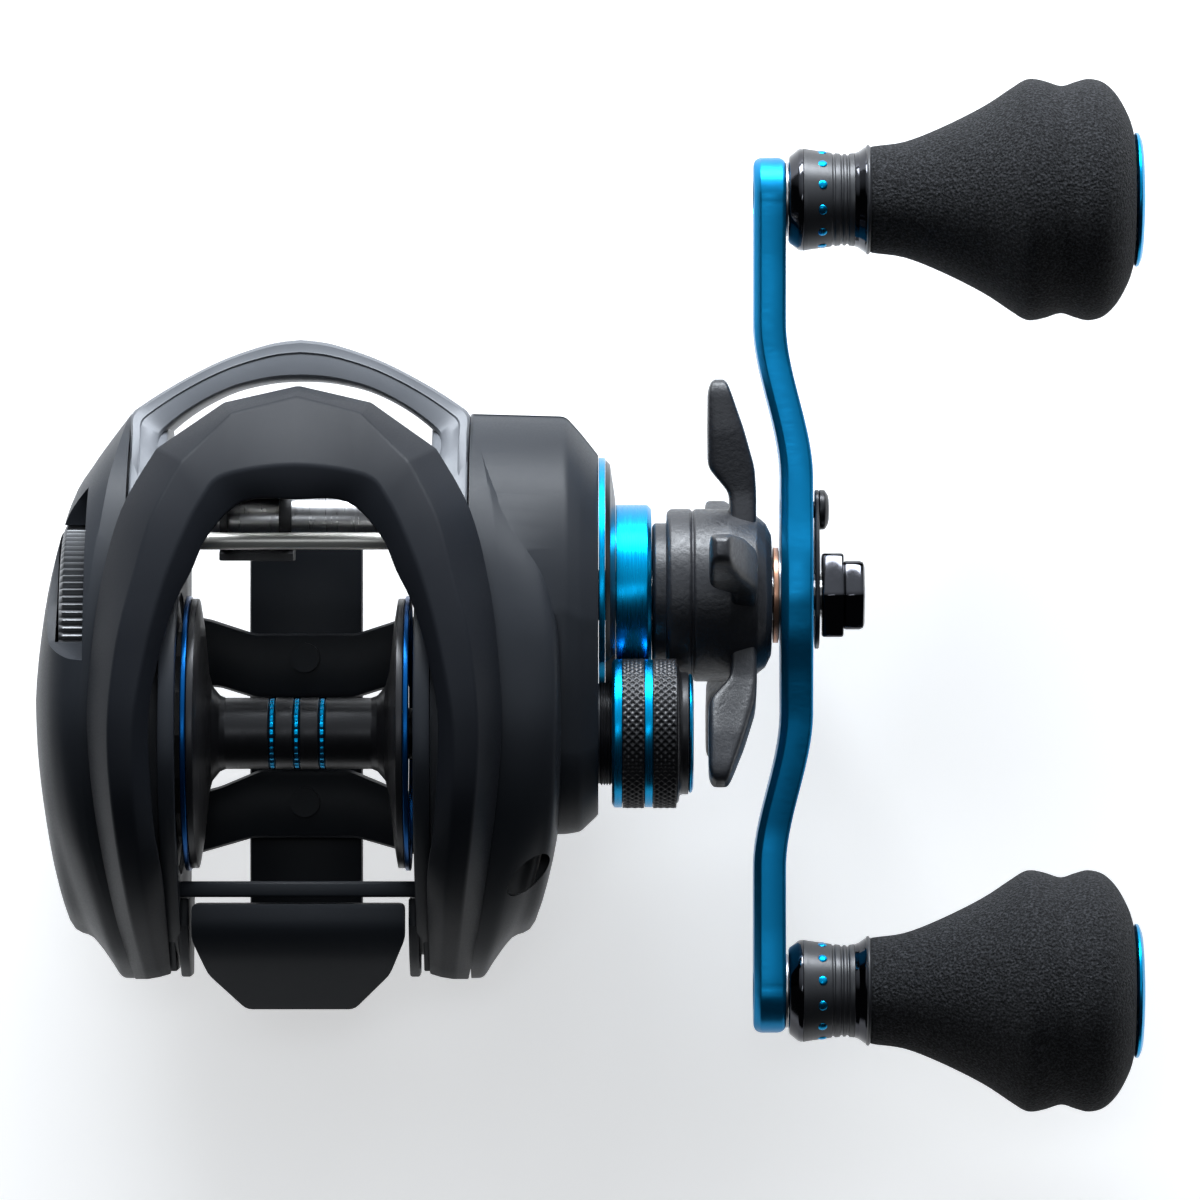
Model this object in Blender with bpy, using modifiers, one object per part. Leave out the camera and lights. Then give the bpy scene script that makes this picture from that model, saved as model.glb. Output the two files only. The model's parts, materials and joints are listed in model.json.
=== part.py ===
"""Low-profile baitcasting reel, modelled as the separate pieces it comes apart into.

World frame: +X points to the handle side, +Y to the rod tip, +Z up, away from the rod.
The origin is the middle of the reel foot's flat underside.
All numbers below are millimetres; the helpers multiply by MM, so the meshes are in metres.
Points of side outlines are (y, z), points of plan outlines are (x, y), and points of
turned profiles are (x, radius).
"""
from math import atan2, cos, hypot, pi, radians, sin

import bmesh
import bpy
import numpy as np
from mathutils import Matrix, Vector

MM = 0.001
GAP = 0.3                       # clearance left between neighbouring pieces
MERGE = 0.00001                 # merge distance of the turned profiles, in metres

# Axes, all parallel to X, as (y, z).
SPOOL_AXIS = (-2.0, 25.0)
DRIVE_AXIS = (14.3, 14.5)
WORM_AXIS = (23.4, 19.0)
DIAL_AXIS = (9.5, 19.5)
GUARD_AXIS = (20.65, 27.0)
KNOB_RADIUS_ARM = 47.2          # from the drive axis to each knob's axis

# Frame and covers.
WALL_IN, WALL_OUT = 13.8, 15.8  # the frame's side walls, as distances from X = 0
SEAM = 20.0                     # where the frame's rim meets a side cover
SHELL = 1.5                     # wall of a cover
SPOOL_HOLE = 16.5               # radius of the opening for the spool in each wall
RIM_CENTRE = (2.0, 18.0)
RIM_SCALE = 0.935               # the rim's inner outline, as a part of its outer one
PLATE_SCALE = 0.90              # the gear plate's outline, as a part of the rim's
CROSSBAR_LOW, CROSSBAR_HIGH = 3.2, 6.6
COVER_SCREWS = [(-10.6, 6.8), (-11.4, 27.0)]    # as (y, z)
COVER_SCREW_HOLE_R = 1.3

# Foot.
FOOT_HALF = 6.8
FOOT_FRONT, FOOT_REAR = 32.0, -33.0
FOOT_THICK, FOOT_TIP_THICK = 2.8, 1.3
FOOT_TAPER = 16.0               # length over which each tip thins
FOOT_SCREWS = [(0.0, 6.8), (0.0, -10.6)]        # as (x, y)
FOOT_SCREW_HOLE_R = 1.1

# Spool.
SHAFT_R = 1.2
ARBOR_R = 4.2
FLANGE_R = 15.0
SPOOL_RIM_R = 16.2

# Gear train.
MAIN_TEETH, PINION_TEETH = 48, 8
WIND_TEETH, WORM_TEETH = 24, 12
PINION_BORE = 1.5
YOKE_SHIFT = 1.5                # how far the thumb bar drives the yoke and the pinion

# Handle.
DRIVE_SHAFT_R = 3.0
HANDLE_STUD_R = 2.5
ARM_IN, ARM_OUT = 57.0, 60.8    # the arm's two faces at its middle
ARM_TIP_DROP = 3.2              # how far the arm's ends step towards the reel
ARM_END_R = 5.0
ARM_MIDDLE_R = 7.5
RETAINER_REACH = 10.2
RETAINER_AXIS = (DRIVE_AXIS[0] + RETAINER_REACH, DRIVE_AXIS[1])

# Star drag.
STAR_ARMS = 5
STAR_ROOT_R, STAR_TIP_R = 9.0, 26.2
STAR_LEAN = 2.3                 # how far a tip leans towards the reel
STAR_FIRST_ANGLE = radians(5.7)

STEPS = 16                      # segments of a turned piece
FINE_STEPS = 24

CHARCOAL = (0.030, 0.033, 0.038)
GREY = (0.16, 0.17, 0.18)
BLUE = (0.0, 0.25, 0.55)
BLACK = (0.012, 0.012, 0.013)
FOAM = (0.010, 0.010, 0.012)
STEEL = (0.55, 0.55, 0.56)
BRASS = (0.60, 0.42, 0.16)
CHROME = (0.75, 0.76, 0.78)
NYLON = (0.75, 0.74, 0.70)


# ---------------------------------------------------------------- scene and helpers

for leftover in list(bpy.data.objects):
    bpy.data.objects.remove(leftover)

reel = bpy.data.collections.new("baitcasting_reel")
cutters = bpy.data.collections.new("cutters")
bpy.context.scene.collection.children.link(reel)
bpy.context.scene.collection.children.link(cutters)


def material(name, rgb, roughness, metallic):
    """A Principled material for one sub-part."""
    mat = bpy.data.materials.new(name)
    mat.use_nodes = True
    shader = mat.node_tree.nodes["Principled BSDF"]
    shader.inputs["Base Color"].default_value = (*rgb, 1.0)
    shader.inputs["Roughness"].default_value = roughness
    shader.inputs["Metallic"].default_value = metallic
    mat.diffuse_color = (*rgb, 1.0)
    return mat


def link(obj, finish, smooth=True):
    """Put an object in the reel's collection and give it its own material."""
    rgb, roughness, metallic = finish
    obj.data.materials.append(material(obj.name, rgb, roughness, metallic))
    reel.objects.link(obj)
    if smooth and obj.type == 'MESH':
        obj.data.shade_smooth()
        obj.data.set_sharp_from_angle(angle=radians(35))
    return obj


MATT_PAINT = (CHARCOAL, 0.55, 0.0)
SATIN_PAINT = (GREY, 0.40, 0.3)
ANODISED = (BLUE, 0.25, 1.0)
BLACK_METAL = (BLACK, 0.35, 0.6)
SOFT_FOAM = (FOAM, 0.95, 0.0)
BARE_STEEL = (STEEL, 0.30, 1.0)
CAST_BRASS = (BRASS, 0.30, 1.0)
BRASS_SHEET = (BRASS, 0.35, 1.0)
BRIGHT = (CHROME, 0.10, 1.0)
PLASTIC = (NYLON, 0.50, 0.0)
BLACK_PLASTIC = (BLACK, 0.50, 0.0)


def screw_around_x(name, loop, closed, axis, steps):
    """Turn a profile, given as (x, radius) points, about an axis parallel to X."""
    mesh = bpy.data.meshes.new(name)
    points = [(r * MM, 0.0, x * MM) for x, r in loop]
    edges = [(i, i + 1) for i in range(len(points) - 1)]
    if closed:
        edges.append((len(points) - 1, 0))
    mesh.from_pydata(points, edges, [])
    obj = bpy.data.objects.new(name, mesh)
    obj.location = (0.0, axis[0] * MM, axis[1] * MM)
    obj.rotation_euler = (0.0, pi / 2, 0.0)
    turn = obj.modifiers.new("turn", 'SCREW')
    turn.axis = 'Z'
    turn.steps = steps
    turn.render_steps = steps
    turn.use_merge_vertices = True
    turn.merge_threshold = MERGE
    return obj


def turned(name, outer, axis, bore=(), steps=STEPS):
    """A turned piece: outer and bore both run from low x to high x."""
    down = list(reversed(outer))
    if bore:
        return screw_around_x(name, down + list(bore), True, axis, steps)
    loop = [(down[0][0], 0.0)] + down + [(down[-1][0], 0.0)]
    return screw_around_x(name, loop, False, axis, steps)


def ring(name, x0, x1, radius, bore, axis, steps=STEPS):
    """A plain ring, washer or bearing."""
    return turned(name, [(x0, radius), (x1, radius)], axis, [(x0, bore), (x1, bore)], steps)


def rod(name, x0, x1, radius, axis, steps=STEPS):
    """A plain round bar along X."""
    return turned(name, [(x0, radius), (x1, radius)], axis, steps=steps)


def vertical_rod(name, x, y, z0, z1, radius, steps=16):
    """A plain round bar along Z."""
    mesh = bpy.data.meshes.new(name)
    bm = bmesh.new()
    place = Matrix.Translation(Vector((x, y, (z0 + z1) / 2)) * MM)
    bmesh.ops.create_cone(bm, cap_ends=True, segments=steps, radius1=radius * MM,
                          radius2=radius * MM, depth=(z1 - z0) * MM, matrix=place)
    bm.to_mesh(mesh)
    bm.free()
    return bpy.data.objects.new(name, mesh)


def coil(name, x0, x1, radius, wire, axis, turns=4, per_turn=7):
    """A compression spring along X."""
    curve = bpy.data.curves.new(name, 'CURVE')
    curve.dimensions = '3D'
    curve.bevel_depth = wire * MM
    curve.bevel_resolution = 1
    curve.use_fill_caps = True
    spline = curve.splines.new('POLY')
    count = turns * per_turn + 1
    spline.points.add(count - 1)
    low, high = x0 + wire, x1 - wire
    for k, point in enumerate(spline.points):
        angle = 2 * pi * k / per_turn
        x = low + (high - low) * k / (count - 1)
        point.co = (x * MM, radius * cos(angle) * MM, radius * sin(angle) * MM, 1.0)
    obj = bpy.data.objects.new(name, curve)
    obj.location = (0.0, axis[0] * MM, axis[1] * MM)
    return link(obj, BARE_STEEL)


def box(name, low, high):
    """A box between two corners."""
    size = [high[i] - low[i] for i in range(3)]
    mid = [(high[i] + low[i]) / 2 for i in range(3)]
    place = Matrix.Translation(Vector(mid) * MM) @ Matrix.Diagonal((*[s * MM for s in size], 1.0))
    mesh = bpy.data.meshes.new(name)
    bm = bmesh.new()
    bmesh.ops.create_cube(bm, size=1.0, matrix=place)
    bm.to_mesh(mesh)
    bm.free()
    return bpy.data.objects.new(name, mesh)


def outline_curve(name, outlines, thickness):
    """A flat 2D curve with holes, extruded about its own plane."""
    curve = bpy.data.curves.new(name, 'CURVE')
    curve.dimensions = '2D'
    curve.fill_mode = 'BOTH'
    curve.extrude = thickness / 2 * MM
    for outline in outlines:
        spline = curve.splines.new('POLY')
        spline.points.add(len(outline) - 1)
        for point, (u, v) in zip(spline.points, outline):
            point.co = (u * MM, v * MM, 0.0, 1.0)
        spline.use_cyclic_u = True
    return bpy.data.objects.new(name, curve)


def solid_from_curve(obj):
    """The welded mesh of an extruded curve, in place of the curve."""
    bpy.context.scene.collection.objects.link(obj)
    bpy.context.view_layer.update()
    mesh = bpy.data.meshes.new_from_object(obj.evaluated_get(bpy.context.evaluated_depsgraph_get()))
    bm = bmesh.new()
    bm.from_mesh(mesh)
    bmesh.ops.remove_doubles(bm, verts=bm.verts, dist=MERGE / 10)
    bmesh.ops.recalc_face_normals(bm, faces=bm.faces)
    bm.to_mesh(mesh)
    bm.free()
    name = obj.name
    place = obj.matrix_world.copy()
    bpy.data.objects.remove(obj)
    solid = bpy.data.objects.new(name, mesh)
    solid.matrix_world = place
    return solid


def side_plate(name, outlines, x0, x1, axis=(0.0, 0.0)):
    """A plate across X, from side outlines of (y, z) points measured from an axis."""
    obj = outline_curve(name, outlines, x1 - x0)
    obj.location = ((x0 + x1) / 2 * MM, axis[0] * MM, axis[1] * MM)
    obj.rotation_euler = (pi / 2, 0.0, pi / 2)
    return solid_from_curve(obj)


def plan_plate(name, outlines, z0, z1):
    """A level plate, from plan outlines of (x, y) points."""
    obj = outline_curve(name, outlines, z1 - z0)
    obj.location = (0.0, 0.0, (z0 + z1) / 2 * MM)
    return solid_from_curve(obj)


def circle(radius, centre=(0.0, 0.0), count=STEPS):
    """Points of a circle."""
    turn = [2 * pi * k / count for k in range(count)]
    return [(centre[0] + radius * cos(a), centre[1] + radius * sin(a)) for a in turn]


def boolean(target, operation, *operands):
    """Join or cut with operands, which then only serve as guides."""
    for operand in operands:
        cutters.objects.link(operand)
        operand.hide_render = True
        operand.display_type = 'WIRE'
        step = target.modifiers.new(operand.name, 'BOOLEAN')
        step.operation = operation
        step.solver = 'EXACT'
        step.object = operand
    return target


def cut(target, *operands):
    return boolean(target, 'DIFFERENCE', *operands)


def join(target, *operands):
    return boolean(target, 'UNION', *operands)


def set_origin(obj, x, y, z):
    """Move an object's origin onto its joint's axis without moving its shape."""
    origin = Vector((x, y, z)) * MM
    obj.data.transform(Matrix.Translation(-origin) @ obj.matrix_world)
    obj.matrix_world = Matrix.Translation(origin)
    return obj


def hexagon(half_width, centre=(0.0, 0.0)):
    """Points of a hexagon, from half its width across the flats."""
    corner = half_width / cos(pi / 6)
    turn = [pi / 6 + k * pi / 3 for k in range(6)]
    return [(centre[0] + corner * cos(a), centre[1] + corner * sin(a)) for a in turn]


def clean_loop(points):
    """Drop repeated neighbours from a closed outline."""
    kept = []
    for point in points:
        if not kept or hypot(point[0] - kept[-1][0], point[1] - kept[-1][1]) > 0.01:
            kept.append(point)
    if hypot(kept[0][0] - kept[-1][0], kept[0][1] - kept[-1][1]) < 0.01:
        kept.pop()
    return kept


def scaled_outline(outline, centre, factor):
    """An outline shrunk towards a centre."""
    return [(centre[0] + (u - centre[0]) * factor, centre[1] + (v - centre[1]) * factor)
            for u, v in outline]


def gear_outline(teeth, module, phase):
    """Points of a spur gear with thinned teeth; a tooth's middle is at the phase angle."""
    pitch_r = teeth * module / 2
    tip_r = pitch_r + 0.62 * module
    root_r = pitch_r - 0.95 * module
    step = 2 * pi / teeth
    half_tip = 0.13 * step
    half_root = 0.27 * step * pitch_r / root_r
    points = []
    for k in range(teeth):
        middle = phase + k * step
        for angle, radius in ((-half_root, root_r), (-half_tip, tip_r),
                              (half_tip, tip_r), (half_root, root_r)):
            points.append((radius * cos(middle + angle), radius * sin(middle + angle)))
    return points


def between(axis_a, axis_b):
    """Distance and direction from one axis to another."""
    dy, dz = axis_b[0] - axis_a[0], axis_b[1] - axis_a[1]
    return hypot(dy, dz), atan2(dz, dy)


# ---------------------------------------------------------------- side outline and covers

# Side outline of the covers, clockwise from the rear, as (y, z).
COVER_SIDE = [(-31.5, 11.0), (-30.6, 16.0), (-27.5, 23.0), (-20.5, 30.5), (-12.0, 35.8), (-2.0, 38.0),
              (7.0, 37.6), (14.0, 36.2), (21.0, 33.4), (28.0, 28.8), (33.0, 22.5), (35.9, 13.5),
              (34.6, 6.0), (29.5, 0.8), (20.0, -1.9), (5.0, -2.3), (-12.0, -1.5), (-24.0, 1.2),
              (-29.8, 5.5)]
COVER_CENTRE = (2.0, 15.0)

# Each station of a cover: x, rearmost y, foremost y, lowest z, highest z.
PALM_STATIONS = [(-20.3, -31.5, 35.8, -1.6, 37.6), (-24.7, -27.3, 30.4, -1.2, 38.0),
                 (-27.0, -25.3, 26.0, -0.2, 36.6), (-28.4, -22.0, 21.8, 1.2, 35.2),
                 (-29.5, -17.0, 16.5, 3.8, 32.4), (-30.5, -10.5, 9.0, 7.5, 29.0),
                 (-31.0, -4.5, 3.0, 12.0, 25.5)]
HANDLE_STATIONS = [(20.3, -31.5, 35.9, -4.5, 37.6), (24.5, -28.3, 35.9, -4.5, 38.0),
                   (27.3, -24.9, 35.8, -4.5, 37.4), (28.6, -22.4, 35.7, -4.4, 37.0),
                   (30.2, -14.4, 35.6, -4.2, 36.6), (31.6, -13.9, 35.4, -4.0, 36.4),
                   (34.6, -10.2, 31.9, -1.8, 34.6), (35.3, -8.6, 30.9, -0.8, 33.8)]


def station_outline(station, base):
    """The side outline stretched to one station's extents."""
    x, rear, front, low, high = station
    cy, cz = COVER_CENTRE
    reach = (min(p[0] for p in base), max(p[0] for p in base),
             min(p[1] for p in base), max(p[1] for p in base))
    points = []
    for y, z in base:
        edge_y, limit_y = (front, reach[1]) if y > cy else (rear, reach[0])
        edge_z, limit_z = (high, reach[3]) if z > cz else (low, reach[2])
        points.append((x, cy + (y - cy) * (edge_y - cy) / (limit_y - cy),
                       cz + (z - cz) * (edge_z - cz) / (limit_z - cz)))
    return points


def loft_solid(name, rings):
    """A closed solid through a row of equal outlines of (x, y, z) points."""
    mesh = bpy.data.meshes.new(name)
    bm = bmesh.new()
    rows = [[bm.verts.new(Vector(point) * MM) for point in row] for row in rings]
    for row, after in zip(rows, rows[1:]):
        for k in range(len(row)):
            nxt = (k + 1) % len(row)
            bm.faces.new((row[k], row[nxt], after[nxt], after[k]))
    bm.faces.new(rows[0])
    bm.faces.new(rows[-1])
    bmesh.ops.triangulate(bm, faces=bm.faces)
    bmesh.ops.recalc_face_normals(bm, faces=bm.faces)
    bm.to_mesh(mesh)
    bm.free()
    return bpy.data.objects.new(name, mesh)


def cover_shell(name, stations, wall):
    """A bowl that is open at the seam: one lofted solid less a smaller one."""
    sign = 1.0 if stations[0][0] > 0 else -1.0
    cover = loft_solid(name, [station_outline(station, COVER_SIDE) for station in stations])
    inner = [(x - sign * wall, rear + wall, front - wall, low + wall, high - wall)
             for x, rear, front, low, high in stations]
    hollow = loft_solid(f"{name}_hollow", [station_outline(station, COVER_SIDE) for station in inner])
    return cut(cover, hollow)


# ---------------------------------------------------------------- frame and foot

WALL_SIDE = [(-28.5, 16.0), (-26.5, 24.5), (-20.5, 32.2), (-13.0, 39.2), (-7.0, 42.0), (-2.0, 42.9),
             (3.5, 42.0), (8.5, 39.6), (13.0, 36.4), (20.0, 33.6), (27.5, 29.6), (32.0, 23.0),
             (33.5, 14.0), (30.5, 6.0), (24.0, 3.2), (-20.0, 3.2), (-26.0, 7.5)]
RIM_SIDE = [(-28.5, 14.0), (-26.5, 22.5), (-20.0, 29.6), (-12.0, 34.8), (-2.0, 37.0), (7.0, 36.6),
            (14.0, 35.2), (21.0, 32.4), (28.0, 27.8), (32.5, 21.8), (34.0, 13.5), (31.5, 6.5),
            (25.0, 3.2), (-20.0, 3.2), (-26.0, 6.5)]

NOSE_OUTER = [(20.0, 31.6), (20.0, 35.9), (14.5, 39.6), (7.5, 43.1), (0.0, 44.6)]
NOSE_INNER = [(0.0, 39.9), (8.0, 38.4), (13.2, 35.7), (16.6, 32.6), (16.6, 31.6)]
NOSE_LOW, NOSE_HIGH = 9.0, 20.5


def mirrored_outline(half):
    """A plan outline closed by its mirror image across X = 0."""
    other = [(-x, y) for x, y in reversed(half) if x > 0]
    return half + other


def nose_outline():
    """The arch in front of the line guide: outer edge one way, inner edge back."""
    outer = [(-x, y) for x, y in NOSE_OUTER[:-1]] + NOSE_OUTER[::-1]
    inner = NOSE_INNER[::-1] + [(-x, y) for x, y in NOSE_INNER[1:]]
    return outer + inner


def make_frame():
    """One casting: two walls with rims, the nose arch, two lower bars and the rear bar."""
    hole = circle(SPOOL_HOLE, SPOOL_AXIS, FINE_STEPS)
    inner_rim = scaled_outline(RIM_SIDE, RIM_CENTRE, RIM_SCALE)
    worm_hole = circle(1.6, WORM_AXIS, 12)
    frame = side_plate("frame", [WALL_SIDE, hole, worm_hole], WALL_IN, WALL_OUT)
    pieces = [side_plate("frame_wall_left", [WALL_SIDE, hole, worm_hole], -WALL_OUT, -WALL_IN)]
    for side, x0, x1 in (("right", WALL_OUT - 0.2, SEAM), ("left", -SEAM, -WALL_OUT + 0.2)):
        pieces.append(side_plate(f"frame_rim_{side}", [RIM_SIDE, inner_rim], x0, x1))
    pieces.append(plan_plate("frame_nose", [nose_outline()], NOSE_LOW, NOSE_HIGH))
    reach = WALL_IN + 0.5
    pieces.append(box("frame_front_bar", (-reach, 3.0, CROSSBAR_LOW), (reach, 10.6, CROSSBAR_HIGH)))
    pieces.append(box("frame_middle_bar", (-reach, -14.6, CROSSBAR_LOW), (reach, -6.6, CROSSBAR_HIGH)))
    pieces.append(box("frame_rear_bar", (-reach, -21.2, 25.5), (reach, -19.4, 28.5)))
    join(frame, *pieces)
    for number, (x, y) in enumerate(FOOT_SCREWS):
        cut(frame, vertical_rod(f"frame_screw_hole_{number}", x, y, 2.0, 7.5, FOOT_SCREW_HOLE_R))
    for number, axis in enumerate(COVER_SCREWS):
        cut(frame, rod(f"frame_cover_screw_hole_{number}", 12.0, 22.0, COVER_SCREW_HOLE_R, axis, 16))
    return link(frame, SATIN_PAINT)


def make_foot():
    """The clamp foot: flat below, thinned towards both tips, with rounded ends."""
    half = [(0.0, FOOT_FRONT), (4.0, FOOT_FRONT - 1.4), (FOOT_HALF, FOOT_FRONT - 6.5),
            (FOOT_HALF, FOOT_REAR + 6.5), (4.0, FOOT_REAR + 1.4), (0.0, FOOT_REAR)]
    foot = plan_plate("reel_foot", [mirrored_outline(half)], 0.0, FOOT_THICK)
    start, beyond, above = FOOT_FRONT - FOOT_TAPER, FOOT_FRONT + 1.0, FOOT_THICK + 2.0
    wedge = [(start, FOOT_THICK), (beyond, FOOT_TIP_THICK), (beyond, above), (start, above)]
    cut(foot, side_plate("foot_front_taper", [wedge], -FOOT_HALF - 1, FOOT_HALF + 1))
    rear = [(FOOT_FRONT + FOOT_REAR - y, z) for y, z in wedge]
    cut(foot, side_plate("foot_rear_taper", [rear], -FOOT_HALF - 1, FOOT_HALF + 1))
    for number, (x, y) in enumerate(FOOT_SCREWS):
        cut(foot, vertical_rod(f"foot_screw_hole_{number}", x, y, 0.8, 4.0, FOOT_SCREW_HOLE_R))
    return link(foot, MATT_PAINT)


def make_foot_screws():
    """Screws from the top of each lower bar down into the foot."""
    for number, (x, y) in enumerate(FOOT_SCREWS):
        screw = vertical_rod(f"foot_screw_{number + 1}", x, y, 1.1, CROSSBAR_HIGH + 0.6, 0.8)
        head = vertical_rod(f"foot_screw_head_{number + 1}", x, y,
                            CROSSBAR_HIGH + GAP, CROSSBAR_HIGH + 1.0, 1.8)
        join(screw, head)
        link(screw, BARE_STEEL)


# ---------------------------------------------------------------- hood

# Height of the hood's ridge along Y, rear to front.
RIDGE_Y = [-31.8, -26.0, -20.0, -12.0, -2.0, 5.0, 13.0, 20.0, 28.0, 36.0, 39.1]
RIDGE_Z = [19.5, 31.5, 38.5, 43.0, 44.6, 44.2, 43.0, 41.0, 37.0, 31.0, 26.0]

# The hood's right half as four lines, front to rear: each row is the opening's edge,
# the inner ridge, the outer ridge and the outer edge, as plan points.
HOOD_LINES = [
    ((0.0, 25.4), (0.0, 29.5), (0.0, 37.6), (0.0, 39.05)),
    ((6.0, 24.9), (8.0, 28.0), (7.5, 35.6), (8.7, 37.0)),
    ((9.75, 20.9), (10.5, 26.0), (13.2, 29.9), (16.5, 31.5)),
    ((11.8, 17.0), (12.8, 22.0), (16.4, 23.8), (20.5, 24.3)),
    ((13.7, 13.0), (15.0, 16.7), (18.4, 17.9), (22.8, 15.3)),
    ((16.0, 5.7), (16.6, 11.4), (19.8, 11.4), (23.9, 6.2)),
    ((16.6, -0.6), (18.7, -2.0), (21.5, -2.0), (24.2, -1.7)),
    ((16.1, -12.0), (18.3, -12.0), (20.8, -12.0), (23.3, -11.9)),
    ((15.2, -18.1), (17.4, -22.0), (19.4, -22.6), (21.3, -23.2)),
    ((15.2, -30.5), (16.6, -31.0), (17.9, -31.4), (19.1, -31.6)),
]
HOOD_DROPS = (1.8, 0.0, 0.4, 4.0)
HOOD_WALL = 1.4


def make_hood():
    """The angular top cover: a faceted sheet on each side of X = 0, thickened down."""
    mesh = bpy.data.meshes.new("front_hood")
    bm = bmesh.new()
    rows = []
    for line in HOOD_LINES:
        row = []
        for (x, y), drop in zip(line, HOOD_DROPS):
            z = float(np.interp(y, RIDGE_Y, RIDGE_Z)) - drop
            row.append(bm.verts.new(Vector((x, y, z)) * MM))
        rows.append(row)
    for row, after in zip(rows, rows[1:]):
        for k in range(3):
            bm.faces.new((row[k], after[k], after[k + 1], row[k + 1]))
    bmesh.ops.recalc_face_normals(bm, faces=bm.faces)
    if sum(face.normal.z for face in bm.faces) < 0:
        bmesh.ops.reverse_faces(bm, faces=bm.faces)
    bm.to_mesh(mesh)
    bm.free()
    hood = bpy.data.objects.new("front_hood", mesh)
    mirror = hood.modifiers.new("mirror", 'MIRROR')
    mirror.merge_threshold = MERGE
    wall = hood.modifiers.new("wall", 'SOLIDIFY')
    wall.thickness = HOOD_WALL * MM
    wall.offset = -1.0
    return link(hood, MATT_PAINT, smooth=False)


# ---------------------------------------------------------------- palm side

DIAL_R = 13.4
DIAL_IN, DIAL_OUT = -24.9, -27.9


def make_palm_side():
    """Cover with the dial pocket, the knurled brake dial and the inner brake parts."""
    cover = cover_shell("palm_side_cover", PALM_STATIONS, SHELL)
    pocket = [(27.3, 40.0), (27.3, 26.0), (23.5, 21.0), (20.5, 18.5), (16.0, 17.5),
              (10.0, 24.0), (6.9, 30.0), (6.9, 40.0)]
    cut(cover, side_plate("dial_pocket", [pocket], DIAL_OUT - 0.4, DIAL_IN + 0.4))
    cut(cover, rod("dial_room", DIAL_OUT - 0.3, DIAL_IN + 6.0, DIAL_R + 0.4, DIAL_AXIS, FINE_STEPS))
    link(cover, MATT_PAINT)

    teeth = 32
    rim = []
    for k in range(teeth):
        middle = 2 * pi * k / teeth
        quarter = pi / teeth / 2
        for angle, radius in ((-quarter, DIAL_R), (quarter, DIAL_R),
                              (quarter * 1.6, DIAL_R - 0.5), (quarter * 2.4, DIAL_R - 0.5)):
            rim.append((radius * cos(middle + angle), radius * sin(middle + angle)))
    dial = side_plate("brake_dial", [rim, circle(1.9)], DIAL_OUT, DIAL_IN, DIAL_AXIS)
    link(dial, SATIN_PAINT)

    pin = turned("dial_pin", [(-27.8, 1.6), (-24.6, 1.6), (-24.6, 3.0), (-22.4, 3.0)],
                 DIAL_AXIS, steps=16)
    link(pin, BARE_STEEL)

    plate = turned("brake_plate",
                   [(-20.0, 6.6), (-15.3, 6.6), (-15.3, 16.1), (-14.3, 16.1)], SPOOL_AXIS,
                   [(-20.0, 5.3), (-16.8, 5.3), (-16.8, 2.0), (-14.3, 2.0)], FINE_STEPS)
    link(plate, BLACK_PLASTIC)
    link(ring("spool_bearing_palm", -19.8, -17.2, 5.0, SHAFT_R + GAP, SPOOL_AXIS), BARE_STEEL)
    link(ring("magnet_ring", -14.0, -13.0, 13.0, 9.5, SPOOL_AXIS), BARE_STEEL)


# ---------------------------------------------------------------- spool

def make_spool():
    """Spool body, its two coloured rims, and the shaft with its cross pin."""
    body_outer = [(-13.6, 3.0), (-12.9, 3.0), (-12.6, 3.4), (-12.6, FLANGE_R), (-11.8, FLANGE_R),
                  (-11.2, 13.4), (-10.4, 6.4), (-9.0, ARBOR_R), (-3.4, ARBOR_R), (-3.1, 3.9),
                  (-2.8, ARBOR_R), (-0.5, ARBOR_R), (-0.2, 3.9), (0.1, ARBOR_R), (2.5, ARBOR_R),
                  (2.8, 3.9), (3.1, ARBOR_R), (9.0, ARBOR_R), (10.4, 6.4), (11.2, 13.4),
                  (11.8, FLANGE_R), (12.6, FLANGE_R), (12.6, 3.4), (12.9, 3.0), (13.6, 3.0)]
    spool = turned("spool", body_outer, SPOOL_AXIS, [(-13.6, 1.5), (13.6, 1.5)], FINE_STEPS)
    link(spool, BLACK_METAL)
    for side, sign in (("right", 1), ("left", -1)):
        span = sorted((11.9 * sign, 13.2 * sign))
        rim = ring(f"spool_rim_{side}", span[0], span[1], SPOOL_RIM_R, FLANGE_R + GAP,
                   SPOOL_AXIS, FINE_STEPS)
        link(rim, ANODISED)
    shaft = rod("spool_shaft", -20.6, 34.0, SHAFT_R, SPOOL_AXIS, 16)
    y, z = SPOOL_AXIS
    join(shaft, vertical_rod("spool_shaft_pin", 14.7, y, z - 2.8, z + 2.8, 0.45, 10))
    link(shaft, BARE_STEEL)


# ---------------------------------------------------------------- gear side

YOKE_X = (20.2, 20.8)
YOKE_POST_REACH = 7.0
GEAR_PLATE = (16.1, 18.3)
WIND_GEARS = (18.8, 20.6)
MAIN_GEAR = (23.0, 26.0)


def yoke_posts():
    """The two posts that the yoke slides on, either side of the spool axis."""
    _, angle = between(DRIVE_AXIS, SPOOL_AXIS)
    across = angle + pi / 2
    return [(SPOOL_AXIS[0] + sign * YOKE_POST_REACH * cos(across),
             SPOOL_AXIS[1] + sign * YOKE_POST_REACH * sin(across)) for sign in (1, -1)]


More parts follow.
